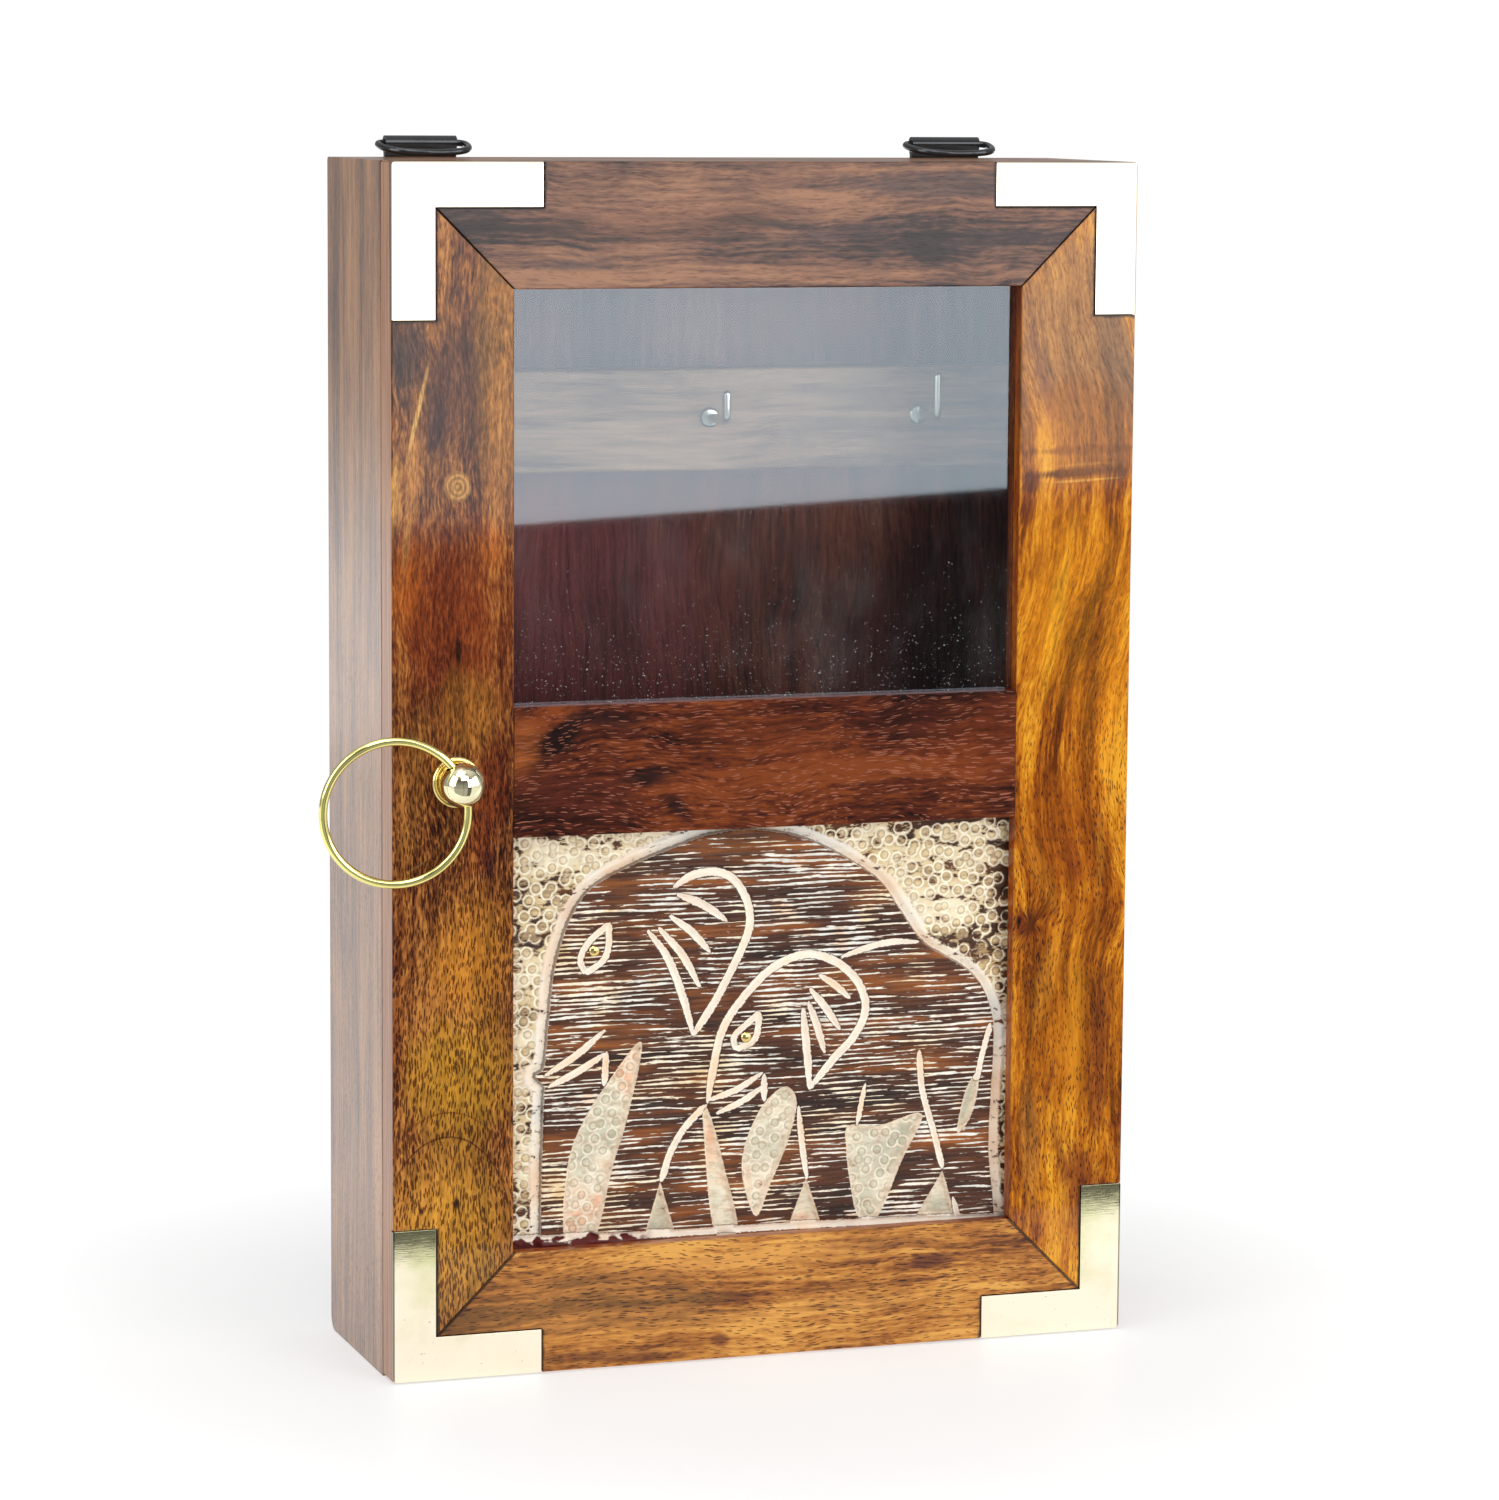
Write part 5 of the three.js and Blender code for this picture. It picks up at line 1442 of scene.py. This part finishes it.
def stroke_field(x, z):
    """How far inside a gouge stroke, or the line under the animals, each point is."""
    stroke = np.full(x.shape, -FAR_OUTSIDE)
    for points, width, tapered in STROKES:
        def half_width(t, width=width, tapered=tapered):
            ends = np.clip(np.minimum(t, 1 - t) * (3.2 if tapered else 14), 0, 1)
            return STROKE_WIDENING * width * (0.25 + 0.75 * np.sqrt(ends))
        path = smooth_curve(points)
        stroke = np.maximum(stroke, -path_distance(x, z, path, half_width=half_width))
    ground = smooth_curve(GROUND_LINE)
    return np.maximum(stroke, -path_distance(x, z, ground, half_width=lambda t: 0.95 + 0 * t))


def drawing(x, z):
    """The panel's fields at grid points: how far inside the animals, strokes and leaves, and
    how far from a punch mark, in millimetres."""
    outline = smooth_curve(OUTLINE)
    below_sight = [[66, 10], [-60, 10]]
    loop = np.concatenate([outline, below_sight])
    leaf, plain_leaf = leaf_fields(x, z)
    ring = stamp_distance(x, z)
    ring[plain_leaf] = NO_STAMP
    return {
        "body": signed(inside(x, z, loop), path_distance(x, z, outline)),
        "stroke": stroke_field(x, z), "leaf": leaf, "ring": ring,
    }


def cut_depth(x, z, body, stroke, leaf, ring):
    """How deep the panel is cut at each point, in millimetres."""
    # Outside the animals the ground is cut down, deepest in the channel along their outline.
    outside = np.clip(-body, 0, None)
    channel = 1.9 * np.clip(outside / 0.5, 0, 1) * np.clip(1 - (outside - 0.5) / 3.2, 0, 1)
    sunk = 0.75 * np.clip(outside / 1.5, 0, 1)
    depth = np.where(body < 0, np.maximum(channel, sunk), 0)
    punched = 0.38 * np.exp(-((ring - STAMP_RADIUS) / 0.42) ** 2) + 0.12 * (ring < 1.2)
    depth += np.where((body < -3.0) | (leaf > 0.6), punched, 0)
    hollow = 1.5 * np.clip(leaf / 0.7, 0, 1) + np.where(leaf > 0.9, punched * 0.8, 0)
    depth = np.maximum(depth, np.where(leaf > 0, hollow, 0))
    depth = np.maximum(depth, 1.5 * np.clip(stroke / 0.75, 0, 1))
    combed = np.sin(2 * np.pi * (z + 0.8 * bumpy(x, z * 3, 14.0, 7)) / (COMB_PITCH / MM))
    depth += np.where((body > 0) & (leaf < 0) & (stroke < 0), 0.09 * (1 + combed), 0)
    depth += 0.05 * (bumpy(x, z, 3.0, 1) + 0.5 * bumpy(x, z, 1.3, 2) + 1.5)
    tongue = (np.abs(x) >= TONGUE_X) | (z <= TONGUE_Z[0]) | (z >= TONGUE_Z[1])
    depth[tongue] = TONGUE_DEPTH
    return depth


def slab(x, y, z, back):
    """A closed slab with a relief front, and how many faces its edges and back have."""
    rows, columns = x.shape
    vertices = list(zip(x.ravel(), y.ravel(), z.ravel()))
    faces = []
    for r in range(rows - 1):
        base = r * columns
        faces += [(base + c, base + c + 1, base + c + 1 + columns, base + c + columns)
                  for c in range(columns - 1)]
    rim = ([c for c in range(columns)] + [r * columns + columns - 1 for r in range(1, rows)]
           + [(rows - 1) * columns + c for c in range(columns - 2, -1, -1)]
           + [r * columns for r in range(rows - 2, 0, -1)])
    behind = len(vertices)
    count = len(rim)
    vertices += [(vertices[i][0], back, vertices[i][2]) for i in rim]
    for k in range(count):
        j = (k + 1) % count
        faces.append((rim[j], rim[k], behind + k, behind + j))
    faces.append(tuple(behind + k for k in range(count - 1, -1, -1)))
    return vertices, faces, count + 1


def build_carved_panel():
    low, high = box_mm("carved_panel")
    xs = np.arange(-SIGHT_X, SIGHT_X, GRID_STEP)
    xs = np.concatenate([[low[0], -TONGUE_X], xs, [TONGUE_X, high[0]]])
    zs = np.arange(*SIGHT_Z, GRID_STEP)
    zs = np.concatenate([[low[2], TONGUE_Z[0]], zs, [TONGUE_Z[1], high[2]]])
    x, z = np.meshgrid(xs, zs)
    fields = drawing(x, z)
    depth = cut_depth(x, z, **fields)
    vertices, faces, flat = slab(x, low[1] + depth, z, high[1])
    mesh = make_piece("carving", vertices, faces, "carved", "door", "carved_wood",
                      ["carved_panel"], smooth=False).data
    rounded = len(faces) - flat
    mesh.polygons.foreach_set("use_smooth", [True] * rounded + [False] * flat)
    for name, field in fields.items():
        fill = NO_STAMP if name == "ring" else -NO_STAMP
        values = np.full(len(mesh.vertices), float(fill))
        values[:field.size] = np.clip(field.ravel(), -20, 20)
        layer = mesh.attributes.new(name, "FLOAT", "POINT")
        layer.data.foreach_set("value", values)


# ---- Floor, light and surroundings ----

TABLE_EDGE = -0.175
FLOOR_REACH = 1.2
SHADOW_REACH = (0.1, 0.27)
NEAR_GLOW = 0.54
FAR_GLOW = 0.72
AMBIENT = 0.50
SEEN_WHITE = 1.02


def softbox(name, place, target, width, height, radiance, tilt=0.0, lights=True):
    """A plain rectangular light of one radiance; one that doesn't light is only reflected."""
    data = bpy.data.lights.new(name, "AREA")
    data.shape = "RECTANGLE"
    data.size = width
    data.size_y = height
    data.energy = radiance * math.pi * width * height
    light = bpy.data.objects.new(name, data)
    light.location = place
    aim = (Vector(target) - Vector(place)).to_track_quat("-Z", "Y")
    light.rotation_mode = "QUATERNION"
    light.rotation_quaternion = Quaternion((0, 1, 0), math.radians(tilt)) @ aim
    light.visible_camera = False
    light.visible_diffuse = lights
    bpy.context.scene.collection.objects.link(light)


def pale_surface(name, near, far):
    """A plain white sheet on the ground from near to far in Y, faintly lit from within,
    less so round the cabinet, so that its soft shadow shows."""
    mesh = bpy.data.meshes.new(name)
    corners = [(-FLOOR_REACH, near, 0), (FLOOR_REACH, near, 0), (FLOOR_REACH, far, 0),
               (-FLOOR_REACH, far, 0)]
    mesh.from_pydata(corners, [], [(0, 1, 2, 3)])
    material, g = new_graph(name)
    place = g.here()
    mottle = g.noise(place, 9, 3, 0.5)
    glow = g.spread(g.length(place), *SHADOW_REACH, NEAR_GLOW, FAR_GLOW)
    g.principled(
        Base_Color=g.ramp(mottle, [(0.3, (0.50, 0.50, 0.50, 1)), (0.7, (0.53, 0.53, 0.53, 1))]),
        Roughness=0.5, Specular_IOR_Level=0.2, Emission_Color=(1, 1, 1, 1),
        Emission_Strength=glow,
    )
    mesh.materials.append(material)
    sheet = bpy.data.objects.new(name, mesh)
    bpy.context.scene.collection.objects.link(sheet)
    return sheet


def make_floor():
    """A white table top, and in front of it a floor that isn't seen in reflections."""
    pale_surface("table", TABLE_EDGE, FLOOR_REACH)
    front = pale_surface("front_floor", -FLOOR_REACH, TABLE_EDGE)
    front.visible_glossy = False


def make_world():
    """White to the eye and even to light by; in reflections, a studio: pale behind and to the
    sides, with a dark gap in front where the camera stands."""
    world = bpy.data.worlds.new("studio")
    world.use_nodes = True
    bpy.context.scene.world = world
    g = Graph(world.node_tree, "ShaderNodeOutputWorld")
    path = g.add("ShaderNodeLightPath")
    x, y, z = g.split(g.add("ShaderNodeTexCoord").outputs["Generated"])
    sideways = x / g.most(abs(y), 0.001)
    walls = g.spread(abs(sideways - 0.18), 0.36, 0.44)
    wedge = g.spread(sideways, -1.9, -1.7) * g.spread(sideways, -0.15, -0.25)
    strip = g.spread(sideways, 0.2, 0.14) * (1.0 - walls)
    front = walls * 0.8 - wedge * 0.5 + strip * 0.3 + g.spread(z, -0.14, -0.2, 0.03, 0.14)
    front = front * g.spread(z, 0.55, -0.05, 0.35, 1.0)
    back = g.spread(z, -0.055, -0.105, 0.36, 1.45)
    around = g.blend(g.spread(y, -0.15, 0.05), front, back)
    reflected = around + g.spread(z, 0.5, 0.95, 0.0, 0.45)
    level = g.blend(path.outputs["Is Glossy Ray"], AMBIENT, reflected)
    level = g.blend(path.outputs["Is Camera Ray"], level, SEEN_WHITE)
    background = g.add("ShaderNodeBackground", inputs={"Color": (1, 1, 1, 1), "Strength": level})
    g.surface(background.outputs[0])


def make_studio():
    make_floor()
    make_world()
    softbox("front_softbox", (0.72, -1.53, 0.700), (0.72, 0, 0.700), 1.0, 1.2, 3.6, tilt=-2.9)
    softbox("high_softbox", (-0.15, -1.05, 1.15), (-0.08, 0, 0.15), 0.9, 0.6, 3.0, lights=False)
    softbox("side_softbox", (1.35, -0.85, 0.75), (0, -0.1, 0.2), 0.9, 1.1, 3.0, lights=False)
    softbox("left_softbox", (-1.2, -0.45, 0.70), (0, -0.1, 0.15), 0.8, 1.1, 3.0, lights=False)
    softbox("top_softbox", (-0.35, -0.35, 1.25), (0, 0, 0.15), 0.7, 0.7, 2.6)
    scene = bpy.context.scene
    scene.view_settings.view_transform = "Standard"
    scene.view_settings.look = "None"


dress_all()
build_ball()
build_rosette()
build_ring()
build_hooks()
build_d_rings()
build_screws()
build_nails()
build_plate_pins()
build_panel_pins()
build_carved_panel()
make_studio()
make_camera()
